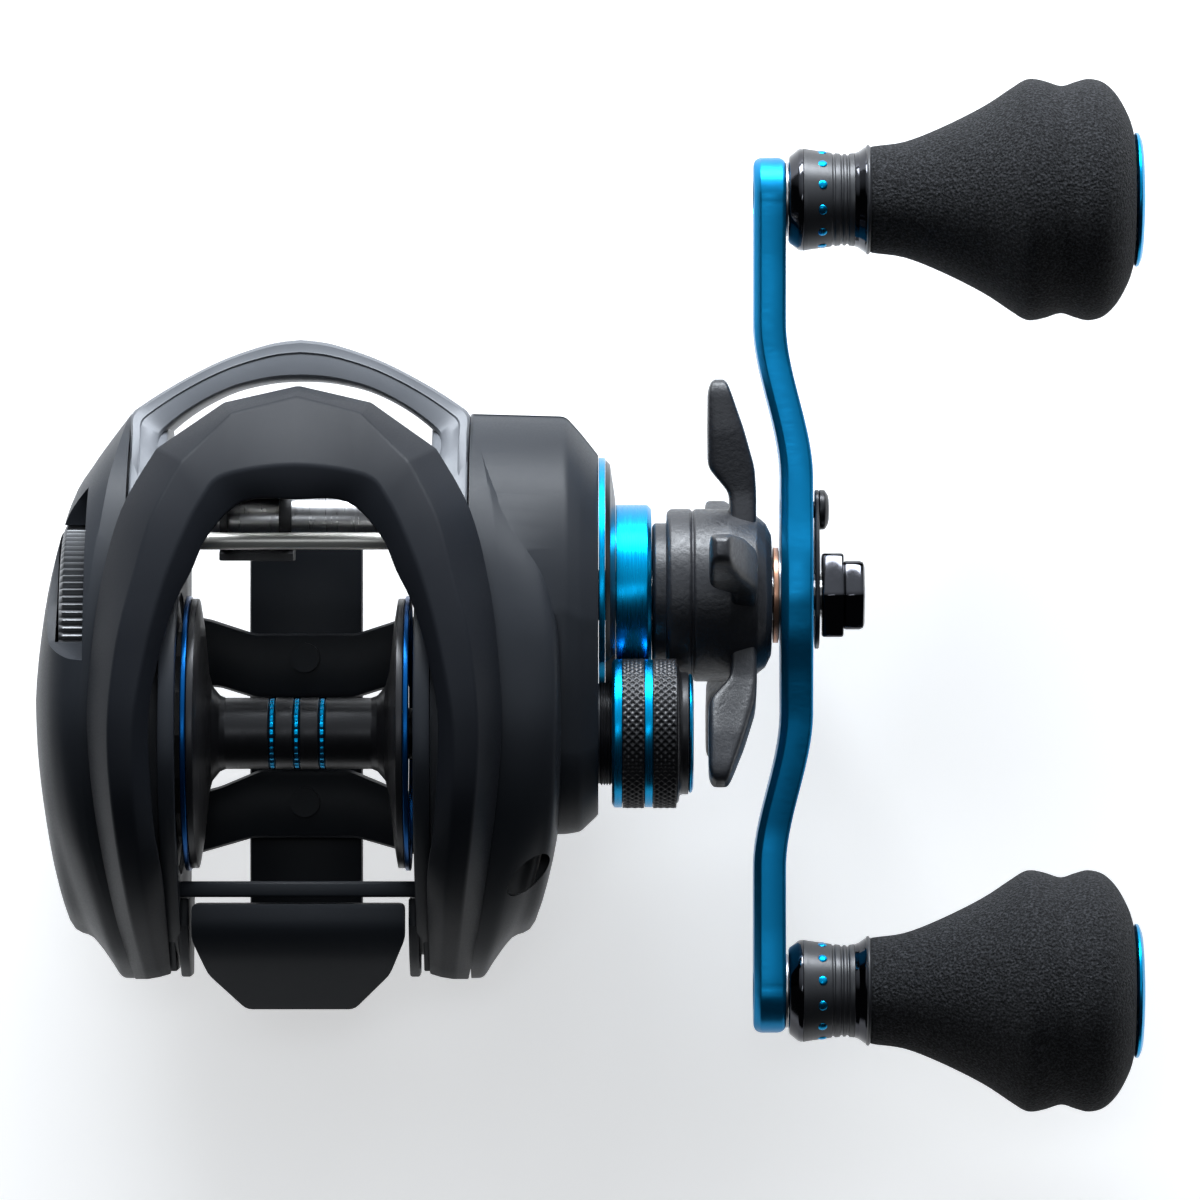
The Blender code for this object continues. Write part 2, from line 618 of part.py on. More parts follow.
def make_gear_plate():
    """The plate inside the frame's right rim, which carries bearings and posts."""
    outline = scaled_outline(RIM_SIDE, RIM_CENTRE, PLATE_SCALE)
    holes = [circle(6.3, SPOOL_AXIS), circle(5.8, DRIVE_AXIS), circle(1.8, WORM_AXIS, 16)]
    plate = side_plate("gear_side_plate", [outline] + holes, *GEAR_PLATE)
    for number, post in enumerate(yoke_posts()):
        join(plate, rod(f"gear_plate_post_{number}", GEAR_PLATE[1] - 0.3, 26.6, 0.8, post, 12))
    for number, axis in enumerate(COVER_SCREWS):
        cut(plate, rod(f"gear_plate_screw_hole_{number}", 15.0, 20.0, COVER_SCREW_HOLE_R, axis, 16))
    link(plate, BARE_STEEL)
    link(ring("pinion_bearing", 16.2, 18.2, 6.0, 3.6, SPOOL_AXIS), BARE_STEEL)
    link(ring("drive_shaft_bearing", 16.2, 18.2, 5.5, DRIVE_SHAFT_R + GAP, DRIVE_AXIS), BARE_STEEL)


def make_clutch():
    """Yoke in the pinion's groove, its two return springs and the cam plate."""
    posts = [(y - SPOOL_AXIS[0], z - SPOOL_AXIS[1]) for y, z in yoke_posts()]
    yoke = side_plate("clutch_yoke", [circle(5.2)], *YOKE_X, SPOOL_AXIS)
    for number, post in enumerate(posts):
        ear = side_plate(f"yoke_ear_{number}", [circle(2.2, post, 16)], *YOKE_X, SPOOL_AXIS)
        join(yoke, ear)
        cut(yoke, side_plate(f"yoke_hole_{number}", [circle(1.1, post, 16)],
                             YOKE_X[0] - 1, YOKE_X[1] + 1, SPOOL_AXIS))
    cut(yoke, side_plate("yoke_throat", [circle(2.9)], YOKE_X[0] - 1, YOKE_X[1] + 1, SPOOL_AXIS))
    _, angle = between(DRIVE_AXIS, SPOOL_AXIS)
    slot = [(u * cos(angle) - v * sin(angle), u * sin(angle) + v * cos(angle))
            for u, v in ((0.0, -2.9), (8.0, -2.9), (8.0, 2.9), (0.0, 2.9))]
    cut(yoke, side_plate("yoke_mouth", [slot], YOKE_X[0] - 1, YOKE_X[1] + 1, SPOOL_AXIS))
    link(yoke, BRASS_SHEET)

    for number, post in enumerate(yoke_posts()):
        coil(f"yoke_spring_{number + 1}", YOKE_X[1] + YOKE_SHIFT + 0.6, 26.0, 1.6, 0.25, post)

    cam_side = [(-23.0, 22.0), (-23.0, 14.0), (-17.0, 11.5), (-12.0, 12.5), (-12.0, 17.0), (-17.0, 22.0)]
    link(side_plate("clutch_cam", [cam_side], 18.7, 19.5), BARE_STEEL)


def make_gears():
    """Pinion, main gear with its drag stack, and the level-wind pair."""
    spread, to_spool = between(DRIVE_AXIS, SPOOL_AXIS)
    module = 2 * spread / (MAIN_TEETH + PINION_TEETH)
    teeth = gear_outline(PINION_TEETH, module, to_spool + pi + pi / PINION_TEETH)
    collar = MAIN_GEAR[0] - YOKE_SHIFT - 0.1
    pinion = side_plate("pinion_gear", [teeth], collar - 0.2, 28.8, SPOOL_AXIS)
    neck = turned("pinion_neck", [(14.2, 3.3), (19.0, 3.3), (19.0, 3.6), (20.0, 3.6), (20.0, 2.5),
                                  (21.0, 2.5), (21.0, 3.6), (collar, 3.6)], SPOOL_AXIS, steps=20)
    join(pinion, neck)
    cut(pinion, rod("pinion_bore", 13.0, 30.0, PINION_BORE, SPOOL_AXIS, 16))
    y, z = SPOOL_AXIS
    cut(pinion, box("pinion_slot", (13.0, y - 0.8, z - 5.0), (15.5, y + 0.8, z + 5.0)))
    link(pinion, CAST_BRASS)

    teeth = gear_outline(MAIN_TEETH, module, to_spool)
    gear = side_plate("main_gear", [teeth, circle(DRIVE_SHAFT_R + GAP)], *MAIN_GEAR, DRIVE_AXIS)
    cut(gear, rod("drag_recess", 24.4, 27.0, 12.8, DRIVE_AXIS, FINE_STEPS))
    link(gear, CAST_BRASS)
    link(ring("drag_washer", 24.7, 25.5, 12.4, 3.4, DRIVE_AXIS), SOFT_FOAM)
    pressure = turned("drag_pressure_plate", [(25.8, 11.6), (26.9, 11.6), (26.9, 5.2), (28.6, 5.2)],
                      DRIVE_AXIS, [(25.8, 3.3), (28.6, 3.3)])
    link(pressure, BARE_STEEL)

    spread, to_worm = between(DRIVE_AXIS, WORM_AXIS)
    module = 2 * spread / (WIND_TEETH + WORM_TEETH)
    teeth = gear_outline(WIND_TEETH, module, to_worm)
    link(side_plate("level_wind_drive_gear", [teeth, circle(DRIVE_SHAFT_R + GAP, count=20)],
                    *WIND_GEARS, DRIVE_AXIS), PLASTIC)
    teeth = gear_outline(WORM_TEETH, module, to_worm + pi + pi / WORM_TEETH)
    link(side_plate("worm_gear", [teeth, circle(1.5, count=16)], *WIND_GEARS, WORM_AXIS), PLASTIC)


def make_drive_shaft():
    """The shaft that the handle turns, stepped down to a stud for the handle."""
    profile = [(16.2, DRIVE_SHAFT_R), (56.9, DRIVE_SHAFT_R), (56.9, HANDLE_STUD_R),
               (64.6, HANDLE_STUD_R)]
    link(turned("drive_shaft", profile, DRIVE_AXIS), BARE_STEEL)
    link(ring("one_way_bearing", 29.4, 34.4, 7.6, DRIVE_SHAFT_R + GAP, DRIVE_AXIS), BARE_STEEL)


# ---------------------------------------------------------------- handle side cover

def make_handle_side():
    """Cover with bearing housings and screw bosses, and the rings around the shaft."""
    cover = cover_shell("handle_side_cover", HANDLE_STATIONS, SHELL)
    bearing_bore = [(30.0, 5.0), (34.4, 5.0), (34.4, 2.0), (40.0, 2.0)]
    seat = [(18.0, 1.3), (29.6, 1.3), (29.6, 2.3), (38.0, 2.3)]
    added = [rod("clutch_bearing_housing", 29.2, 35.0, 9.2, DRIVE_AXIS),
             rod("tension_boss", 31.2, 38.6, 5.9, SPOOL_AXIS)]
    removed = [rod("clutch_bearing_bore", 28.0, 37.0, 7.9, DRIVE_AXIS),
               turned("tension_boss_bore", bearing_bore, SPOOL_AXIS)]
    for number, axis in enumerate(COVER_SCREWS):
        added.append(rod(f"screw_boss_{number}", SEAM + 0.4, 31.4, 3.0, axis, 12))
        removed.append(turned(f"screw_seat_{number}", seat, axis, steps=14))
    for operation, pieces in (('UNION', added), ('DIFFERENCE', removed)):
        for piece in pieces:
            boolean(cover, operation, piece)
            cover.modifiers.new("facets", 'TRIANGULATE')
    link(cover, MATT_PAINT)

    for number, axis in enumerate(COVER_SCREWS):
        profile = [(17.0, 1.0), (29.9, 1.0), (29.9, 2.0), (31.1, 2.0)]
        link(turned(f"cover_screw_{number + 1}", profile, axis, steps=16), BARE_STEEL)

    link(ring("spool_bearing_handle", 31.5, 34.0, 4.7, SHAFT_R + GAP, SPOOL_AXIS), BARE_STEEL)

    ring_gap = rod("ring_relief_a", 34.0, 39.0, 9.3, SPOOL_AXIS)
    thin = ring("cover_ring", 35.6, 36.1, 16.4, 9.5, DRIVE_AXIS, FINE_STEPS)
    link(cut(thin, ring_gap), ANODISED)
    cone = turned("cover_cone", [(36.4, 16.2), (36.8, 15.4), (37.2, 11.2)], DRIVE_AXIS,
                  [(36.4, 8.2), (37.2, 8.2)], FINE_STEPS)
    link(cut(cone, rod("ring_relief_b", 34.0, 39.0, 9.3, SPOOL_AXIS)), BLACK_METAL)
    sleeve = turned("bearing_sleeve", [(37.5, 10.4), (37.8, 10.8), (41.0, 10.8), (41.4, 10.4)],
                    DRIVE_AXIS, [(37.5, 5.0), (41.4, 5.0)])
    link(cut(sleeve, rod("sleeve_relief", 34.0, 43.0, 9.2, SPOOL_AXIS)), ANODISED)


def make_tension_knob():
    """The spool tension knob and its coloured end cap."""
    outer = [(36.9, 8.2), (37.3, 8.8), (44.3, 8.8), (44.9, 8.0)]
    bore = [(36.9, 6.3), (39.2, 6.3), (39.2, 2.5), (44.9, 2.5)]
    link(turned("tension_knob", outer, SPOOL_AXIS, bore), BLACK_METAL)
    cap = turned("tension_cap", [(43.6, 2.0), (45.2, 2.0), (45.2, 6.9), (46.0, 6.9), (46.5, 6.0)],
                 SPOOL_AXIS)
    link(cap, ANODISED)


# ---------------------------------------------------------------- star drag and handle

def make_star():
    """Hub with five leaning arms."""
    arm_points = []
    step = 2 * pi / STAR_ARMS
    for k in range(STAR_ARMS):
        middle = STAR_FIRST_ANGLE + k * step
        for turn, radius in ((-step / 2, 8.0), (-0.22, 11.5), (-0.125, 20.0), (-0.085, 25.2),
                             (0.0, STAR_TIP_R), (0.085, 25.2), (0.125, 20.0), (0.22, 11.5)):
            angle = middle + turn
            arm_points.append((radius * cos(angle), radius * sin(angle)))
    star = side_plate("star_drag", [arm_points], 50.6, 53.6, DRIVE_AXIS)
    for vert in star.data.vertices:
        reach = hypot(vert.co.x, vert.co.y) / MM
        lean = STAR_LEAN * max(0.0, reach - STAR_ROOT_R) / (STAR_TIP_R - STAR_ROOT_R)
        vert.co.z -= lean * MM
    hub = turned("star_hub", [(41.7, 8.2), (42.0, 8.6), (43.4, 8.6), (43.4, 9.9), (43.9, 10.3),
                              (46.2, 10.3), (46.5, 10.0), (46.8, 10.3), (50.9, 10.3), (54.1, 9.4),
                              (55.3, 8.4), (55.9, 7.3)], DRIVE_AXIS)
    join(star, hub)
    cut(star, rod("star_bore", 40.0, 58.0, DRIVE_SHAFT_R + GAP, DRIVE_AXIS))
    return link(star, BLACK_METAL)


def knob_axis(sign):
    return (DRIVE_AXIS[0] + sign * KNOB_RADIUS_ARM, DRIVE_AXIS[1])


def make_handle_arm():
    """A stepped strap: its plan shape crossed with its face shape."""
    tip_in, tip_out = ARM_IN - ARM_TIP_DROP, ARM_OUT - ARM_TIP_DROP
    half = [(ARM_IN, 15.5), (tip_in, 31.0), (tip_in, 54.0), (tip_out, 54.0), (tip_out, 31.0),
            (ARM_OUT, 15.5)]
    plan = half + [(x, -r) for x, r in reversed(half)]
    y, z = DRIVE_AXIS
    arm = plan_plate("handle_arm", [[(x, y + r) for x, r in plan]], z - 9.0, z + 9.0)
    face = []
    for k in range(9):
        angle = -pi / 2 + pi * k / 8
        face.append((KNOB_RADIUS_ARM + ARM_END_R * cos(angle), ARM_END_R * sin(angle)))
    face += [(28.0, 4.4), (13.0, 5.4)]
    face += [(ARM_MIDDLE_R * cos(a), ARM_MIDDLE_R * sin(a)) for a in (radians(50), radians(75))]
    upper = face + [(-r, w) for r, w in reversed(face)]
    lower = [(r, -w) for r, w in reversed(upper) if w > 0 and abs(r) < KNOB_RADIUS_ARM - ARM_END_R]
    outline = clean_loop(upper + lower)
    blank = side_plate("arm_face", [outline], 50.0, 64.0, DRIVE_AXIS)
    boolean(arm, 'INTERSECT', blank)
    cut(arm, rod("arm_shaft_hole", 50.0, 64.0, HANDLE_STUD_R + GAP, DRIVE_AXIS, 20))
    for sign, name in ((1, "front"), (-1, "rear")):
        cut(arm, rod(f"arm_post_hole_{name}", 50.0, 64.0, 2.3, knob_axis(sign), 20))
    cut(arm, rod("arm_retainer_hole", 57.5, 64.0, 1.3, RETAINER_AXIS, 16))
    return link(set_origin(arm, 0.0, *DRIVE_AXIS), ANODISED)


def make_handle_fastening():
    """Spring washer, retainer plate with its screw, and the capped nut."""
    link(ring("handle_washer", 56.15, 56.7, 5.7, DRIVE_SHAFT_R + GAP, DRIVE_AXIS), CAST_BRASS)
    plate_side = [(12.6, -1.6), (12.6, 1.6), (10.2, 2.6), (4.0, 5.6), (-3.4, 5.6), (-6.5, 2.4),
                  (-6.5, -2.4), (-3.4, -5.6), (4.0, -5.6), (10.2, -2.6)]
    holes = [circle(HANDLE_STUD_R + GAP, count=20), circle(1.3, (RETAINER_REACH, 0.0), 16)]
    link(side_plate("retainer_plate", [plate_side] + holes, 61.1, 61.6, DRIVE_AXIS), BLACK_METAL)
    screw = turned("retainer_screw", [(58.2, 1.0), (61.9, 1.0), (61.9, 2.4), (62.5, 2.4), (62.8, 1.8)],
                   RETAINER_AXIS, steps=16)
    link(screw, BLACK_METAL)
    nut = side_plate("handle_nut", [hexagon(5.0)], 61.9, 64.5, DRIVE_AXIS)
    join(nut, side_plate("nut_cap", [hexagon(4.1)], 64.2, 67.0, DRIVE_AXIS))
    cut(nut, rod("nut_thread", 60.0, 65.2, HANDLE_STUD_R + GAP, DRIVE_AXIS, 20))
    link(nut, BLACK_METAL)


GRIP_PROFILE = [(67.7, 6.3), (71.8, 6.9), (76.2, 8.6), (81.1, 11.0), (85.0, 13.6), (87.0, 14.45),
                (88.8, 14.2), (90.65, 13.5), (92.4, 14.2), (93.8, 14.45), (95.5, 13.9), (97.3, 12.5),
                (98.6, 9.6), (99.1, 8.2)]
SLEEVE_R = 4.6


def make_knob(sign, name):
    """One knob: a fixed post, a turning neck with its sleeve, the foam grip and a cap."""
    axis = knob_axis(sign)
    post = [(53.0, 3.2), (53.5, 3.2), (53.5, 2.0), (94.0, 2.0)]
    link(turned(f"knob_post_{name}", post, axis, steps=20), BARE_STEEL)
    neck_outer = [(58.0, 5.5), (58.3, 5.9), (59.5, 6.0), (60.6, 6.0), (62.6, 6.0), (63.6, 5.4),
                  (65.8, 5.4), (66.6, 6.1), (67.4, 6.1), (67.4, SLEEVE_R), (98.2, SLEEVE_R)]
    neck = turned(f"knob_neck_{name}", neck_outer, axis, [(58.0, 2.3), (98.2, 2.3)], 24)
    link(neck, BLACK_METAL)
    grip = turned(f"knob_grip_{name}", GRIP_PROFILE, axis,
                  [(67.7, SLEEVE_R + GAP), (99.1, SLEEVE_R + GAP)], FINE_STEPS)
    link(grip, SOFT_FOAM)
    cap = turned(f"knob_cap_{name}", [(98.5, 3.0), (99.4, 3.0), (99.4, 8.0), (99.8, 8.0), (100.3, 6.5),
                                      (100.4, 4.0)], axis, steps=24)
    link(cap, ANODISED)


# ---------------------------------------------------------------- level wind

GUIDE_X = -5.2                  # middle of the line guide at rest
GUIDE_HALF = 4.4
WORM_R = 2.0
WORM_TUBE_IN, WORM_TUBE_OUT = 2.3, 2.8
EYE_Z = 25.4


def make_worm():
    """A shaft with crossing left and right hand grooves between plain journals."""
    around, pitch, depth = 10, 7.0, 0.45
    rows = [(-15.6, 1.2, False), (-13.4, 1.2, False), (-13.4, WORM_R, False)]
    grooved = np.linspace(-12.4, 12.4, 26)
    rows += [(float(x), WORM_R, True) for x in grooved]
    rows += [(13.4, WORM_R, False), (13.4, 1.2, False), (20.9, 1.2, False)]
    mesh = bpy.data.meshes.new("worm_shaft")
    bm = bmesh.new()
    rings = []
    for x, radius, has_groove in rows:
        row = []
        for k in range(around):
            angle = 2 * pi * k / around
            r = radius
            if has_groove:
                ahead = cos(angle - 2 * pi * x / pitch)
                behind = cos(angle + 2 * pi * x / pitch)
                r -= depth * max(0.0, max(ahead, behind) - 0.55) / 0.45
            row.append(bm.verts.new(Vector((x, r * cos(angle), r * sin(angle))) * MM))
        rings.append(row)
    for row, after in zip(rings, rings[1:]):
        for k in range(around):
            nxt = (k + 1) % around
            bm.faces.new((row[k], row[nxt], after[nxt], after[k]))
    bm.faces.new(rings[0])
    bm.faces.new(rings[-1])
    bmesh.ops.recalc_face_normals(bm, faces=bm.faces)
    bm.to_mesh(mesh)
    bm.free()
    worm = bpy.data.objects.new("worm_shaft", mesh)
    worm.location = (0.0, WORM_AXIS[0] * MM, WORM_AXIS[1] * MM)
    return link(worm, BARE_STEEL)


def make_level_wind():
    """Worm, its slotted tube, the guard bar, and the guide with its eye and pawl."""
    make_worm()
    y, z = WORM_AXIS
    tube = ring("worm_tube", -13.5, 13.5, WORM_TUBE_OUT, WORM_TUBE_IN, WORM_AXIS, 24)
    cut(tube, box("worm_tube_slot", (-12.8, y - 1.6, z - 5.0), (12.8, y + 1.6, z)))
    link(tube, BARE_STEEL)
    link(rod("guard_bar", -13.5, 13.5, 1.0, GUARD_AXIS, 20), BRIGHT)

    guide_side = [(y - 4.6, z - 4.4), (y + 3.9, z - 4.4), (y + 3.9, z + 1.0), (y + 6.0, z + 1.0),
                  (y + 6.0, EYE_Z + 4.2), (y + 3.8, EYE_Z + 4.2), (y + 3.8, z + 4.4), (y + 0.6, z + 4.4),
                  (GUARD_AXIS[0] + 1.6, GUARD_AXIS[1] + 2.0), (GUARD_AXIS[0] - 1.9, GUARD_AXIS[1] + 2.0),
                  (GUARD_AXIS[0] - 2.0, z + 4.4), (y - 4.6, z + 3.0)]
    holes = [circle(WORM_TUBE_OUT + 0.4, WORM_AXIS, 24), circle(1.3, GUARD_AXIS, 16)]
    x0, x1 = GUIDE_X - GUIDE_HALF, GUIDE_X + GUIDE_HALF
    guide = side_plate("line_guide", [guide_side] + holes, x0, x1)
    trim = box("guide_trim", (x1 - 2.0, 10.0, z + 4.9), (x1 + 1.0, y + 2.0, 40.0))
    other = box("guide_trim_left", (x0 - 1.0, 10.0, z + 4.9), (x1 - 4.4, y + 2.0, 40.0))
    eye_hole = forward_ring("guide_eye_hole", 3.3, y + 3.0, y + 8.0)
    cut(guide, trim, other, eye_hole, vertical_rod("pawl_hole", GUIDE_X, y, z - 6.0, z - 2.0, 1.5))
    link(guide, BLACK_PLASTIC)
    eye = forward_ring("line_eye", 3.0, y + 3.5, y + 6.3)
    cut(eye, forward_ring("line_eye_bore", 1.7, y + 2.0, y + 9.0))
    link(eye, BRIGHT)
    pawl = vertical_rod("pawl", GUIDE_X, y, z - 5.6, z - WORM_R - GAP, 1.2)
    link(pawl, CAST_BRASS)


def forward_ring(name, radius, y0, y1, steps=20):
    """A round bar along Y through the eye's centre."""
    mesh = bpy.data.meshes.new(name)
    bm = bmesh.new()
    place = Matrix.Translation(Vector((GUIDE_X, (y0 + y1) / 2, EYE_Z)) * MM)
    place = place @ Matrix.Rotation(pi / 2, 4, 'X')
    bmesh.ops.create_cone(bm, cap_ends=True, segments=steps, radius1=radius * MM,
                          radius2=radius * MM, depth=(y1 - y0) * MM, matrix=place)
    bm.to_mesh(mesh)
    bm.free()
    return bpy.data.objects.new(name, mesh)


# ---------------------------------------------------------------- thumb bar

def make_thumb_bar():
    """The clutch bar behind the spool: its plan shape crossed with its side shape."""
    half = [(12.5, -22.0), (12.5, -26.2), (10.7, -30.5), (6.4, -34.8)]
    plan = half + [(-x, y) for x, y in reversed(half)]
    bar = plan_plate("thumb_bar", [plan], 12.0, 34.0)
    side = [(-21.0, 28.0), (-24.5, 29.0), (-29.0, 26.6), (-35.5, 19.6), (-35.5, 17.4), (-31.0, 20.6),
            (-28.0, 22.8), (-25.0, 23.6), (-21.0, 23.6)]
    boolean(bar, 'INTERSECT', side_plate("thumb_bar_side", [side], -15.0, 15.0))
    link(bar, MATT_PAINT)


# ---------------------------------------------------------------- assembly

make_frame()
make_foot()
make_foot_screws()
make_hood()
make_palm_side()
make_spool()
make_gear_plate()
make_clutch()
make_gears()
make_drive_shaft()
make_handle_side()
make_tension_knob()
make_star()
make_handle_arm()
make_handle_fastening()
make_knob(1, "front")
make_knob(-1, "rear")
make_level_wind()
make_thumb_bar()
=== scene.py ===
from math import copysign, cos, pi, radians, sin, sqrt
import json

import bmesh
import bpy
import numpy as np
from mathutils import Matrix, Vector


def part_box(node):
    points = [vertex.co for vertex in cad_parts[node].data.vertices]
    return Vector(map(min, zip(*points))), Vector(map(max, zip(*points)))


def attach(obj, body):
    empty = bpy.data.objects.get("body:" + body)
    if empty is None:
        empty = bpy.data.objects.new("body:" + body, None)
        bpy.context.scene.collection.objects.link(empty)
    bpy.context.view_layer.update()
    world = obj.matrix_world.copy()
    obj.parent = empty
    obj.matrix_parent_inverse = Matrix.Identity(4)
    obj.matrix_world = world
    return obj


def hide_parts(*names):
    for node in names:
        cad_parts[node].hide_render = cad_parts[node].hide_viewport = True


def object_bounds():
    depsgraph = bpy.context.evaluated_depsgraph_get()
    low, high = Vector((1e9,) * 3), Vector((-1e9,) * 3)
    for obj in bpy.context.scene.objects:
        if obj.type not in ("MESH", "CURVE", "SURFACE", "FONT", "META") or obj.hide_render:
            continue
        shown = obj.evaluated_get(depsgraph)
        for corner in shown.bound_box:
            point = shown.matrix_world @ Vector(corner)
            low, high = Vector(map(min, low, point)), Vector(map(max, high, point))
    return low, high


# Looks of the low-profile baitcasting reel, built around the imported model.
# Lengths are millimetres until they become mesh coordinates; +X is the handle side, +Y the
# rod tip and +Z up. Side outlines are (y, z), plan outlines (x, y), turned profiles (x, radius).

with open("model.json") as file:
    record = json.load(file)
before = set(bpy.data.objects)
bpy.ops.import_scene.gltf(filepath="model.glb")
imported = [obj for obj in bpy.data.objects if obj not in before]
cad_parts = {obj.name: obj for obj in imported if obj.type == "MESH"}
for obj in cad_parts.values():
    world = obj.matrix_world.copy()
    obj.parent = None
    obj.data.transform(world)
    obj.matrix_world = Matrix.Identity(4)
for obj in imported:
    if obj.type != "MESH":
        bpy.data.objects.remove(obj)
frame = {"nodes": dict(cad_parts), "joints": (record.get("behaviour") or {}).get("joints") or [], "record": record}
CAD_LOW, CAD_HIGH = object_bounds()
MM = 0.001
SEAM_GAP = 0.12                   # hairline between the frame and each cover


def joint_axis(name):
    """Where a joint's axis, parallel to X, crosses the side view, as (y, z)."""
    joint = next(j for j in frame["joints"] if j["name"] == name)
    return joint["pos_m"][1] / MM, joint["pos_m"][2] / MM


def middle_axis(node):
    """Where the middle line of a CAD node, parallel to X, crosses the side view, as (y, z)."""
    low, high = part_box(node)
    return (low.y + high.y) / 2 / MM, (low.z + high.z) / 2 / MM


def span(node):
    """Lowest and highest x of a CAD node."""
    low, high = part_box(node)
    return low.x / MM, high.x / MM


SPOOL = joint_axis("spool_spin")
DRIVE = joint_axis("handle_turn")
WORM = joint_axis("worm_spin")
DIAL = joint_axis("brake_dial_turn")
KNOB = {"front": joint_axis("knob_front_spin"), "rear": joint_axis("knob_rear_spin")}
SIDES = {"right": 1, "left": -1}


# ---------------- materials

class Nodes:
    """The node tree of a material or the world, with short calls to add and join nodes."""

    def __init__(self, owner, shader="Principled BSDF"):
        self.owner = owner
        owner.use_nodes = True
        self.tree = owner.node_tree
        self.shader = self.tree.nodes[shader]

    def add(self, kind, **values):
        node = self.tree.nodes.new(kind)
        for key, value in values.items():
            if key in node.inputs:
                node.inputs[key].default_value = value
            else:
                setattr(node, key, value)
        return node

    def join(self, source, output, target, entry):
        self.tree.links.new(source.outputs[output], target.inputs[entry])

    def place(self, scale):
        """Object coordinates, in metres, stretched by a scale on each axis."""
        where = self.add("ShaderNodeTexCoord")
        mapping = self.add("ShaderNodeMapping", Scale=scale)
        self.join(where, "Object", mapping, "Vector")
        return mapping

    def noise(self, scale, detail=3.0, rough=0.6):
        mapping = self.place(scale)
        noise = self.add("ShaderNodeTexNoise", Scale=1.0, Detail=detail, Roughness=rough)
        self.join(mapping, "Vector", noise, "Vector")
        return noise

    def ramp(self, source, output, low, high, start=0.3, end=0.7):
        """Two colours across a grey value."""
        ramp = self.add("ShaderNodeValToRGB")
        for element, place, colour in zip(ramp.color_ramp.elements, (start, end), (low, high)):
            element.position = place
            element.color = (*colour, 1.0)
        self.join(source, output, ramp, "Fac")
        return ramp

    def spread(self, source, output, low, high):
        """A grey value stretched between two numbers."""
        spread = self.add("ShaderNodeMapRange",
                          **{"From Min": 0.3, "From Max": 0.7, "To Min": low, "To Max": high})
        self.join(source, output, spread, "Value")
        return spread

    def bump(self, source, output, strength, distance):
        bump = self.add("ShaderNodeBump", Strength=strength, Distance=distance)
        self.join(source, output, bump, "Height")
        self.join(bump, "Normal", self.shader, "Normal")


def surface(name, low, high, metallic, rough, grain, bump, depth, cloud=(60, 60, 60), sheen=0.5):
    """A finish: colour drifts between two tones, fine grain moves roughness and relief."""
    nodes = Nodes(bpy.data.materials.new(name))
    drift = nodes.noise(cloud, detail=4.0)
    tone = nodes.ramp(drift, "Fac", low, high)
    nodes.join(tone, "Color", nodes.shader, "Base Color")
    fine = nodes.noise(grain, detail=2.0)
    polish = nodes.spread(fine, "Fac", *rough)
    nodes.join(polish, "Result", nodes.shader, "Roughness")
    nodes.bump(fine, "Fac", bump, depth)
    nodes.shader.inputs["Metallic"].default_value = metallic
    nodes.shader.inputs["Specular IOR Level"].default_value = sheen
    return nodes.owner


def foam_finish():
    """Closed-cell foam: pinpricked relief and paler specks."""
    nodes = Nodes(bpy.data.materials.new("foam"))
    cells = nodes.add("ShaderNodeTexVoronoi", Scale=1.0)
    nodes.join(nodes.place((2600, 2600, 2600)), "Vector", cells, "Vector")
    grit = nodes.noise((3400, 3400, 3400), detail=5.0, rough=0.75)
    tone = nodes.ramp(grit, "Fac", (0.0035, 0.0038, 0.0045), (0.052, 0.054, 0.060), 0.44, 0.74)
    nodes.join(tone, "Color", nodes.shader, "Base Color")
    mixed = nodes.add("ShaderNodeMath", operation='ADD')
    nodes.join(cells, "Distance", mixed, 0)
    nodes.join(grit, "Fac", mixed, 1)
    nodes.bump(mixed, "Value", 0.75, 0.00022)
    nodes.shader.inputs["Roughness"].default_value = 0.95
    nodes.shader.inputs["Specular IOR Level"].default_value = 0.25
    return nodes.owner


def weave_finish():
    """Woven carbon: two crossing sets of bands picked by a checker."""
    nodes = Nodes(bpy.data.materials.new("carbon_fibre"))
    place = nodes.place((1, 1, 1))
    checker = nodes.add("ShaderNodeTexChecker", Scale=500.0)
    nodes.join(place, "Vector", checker, "Vector")
    mix = nodes.add("ShaderNodeMix", data_type='RGBA')
    nodes.join(checker, "Fac", mix, "Factor")
    for direction, entry in (('Y', 6), ('Z', 7)):
        band = nodes.add("ShaderNodeTexWave", bands_direction=direction, Scale=900.0, Distortion=0.4)
        nodes.join(place, "Vector", band, "Vector")
        nodes.join(band, "Color", mix, entry)
    tone = nodes.ramp(mix, 2, (0.008, 0.008, 0.009), (0.060, 0.060, 0.064), 0.0, 1.0)
    nodes.join(tone, "Color", nodes.shader, "Base Color")
    nodes.shader.inputs["Roughness"].default_value = 0.45
    return nodes.owner


EVEN = (2500, 2500, 2500)         # grain alike in all directions
POWDER = (4200, 4200, 4200)
TURNED = (5200, 240, 240)         # lathe marks: fine along X, long around it
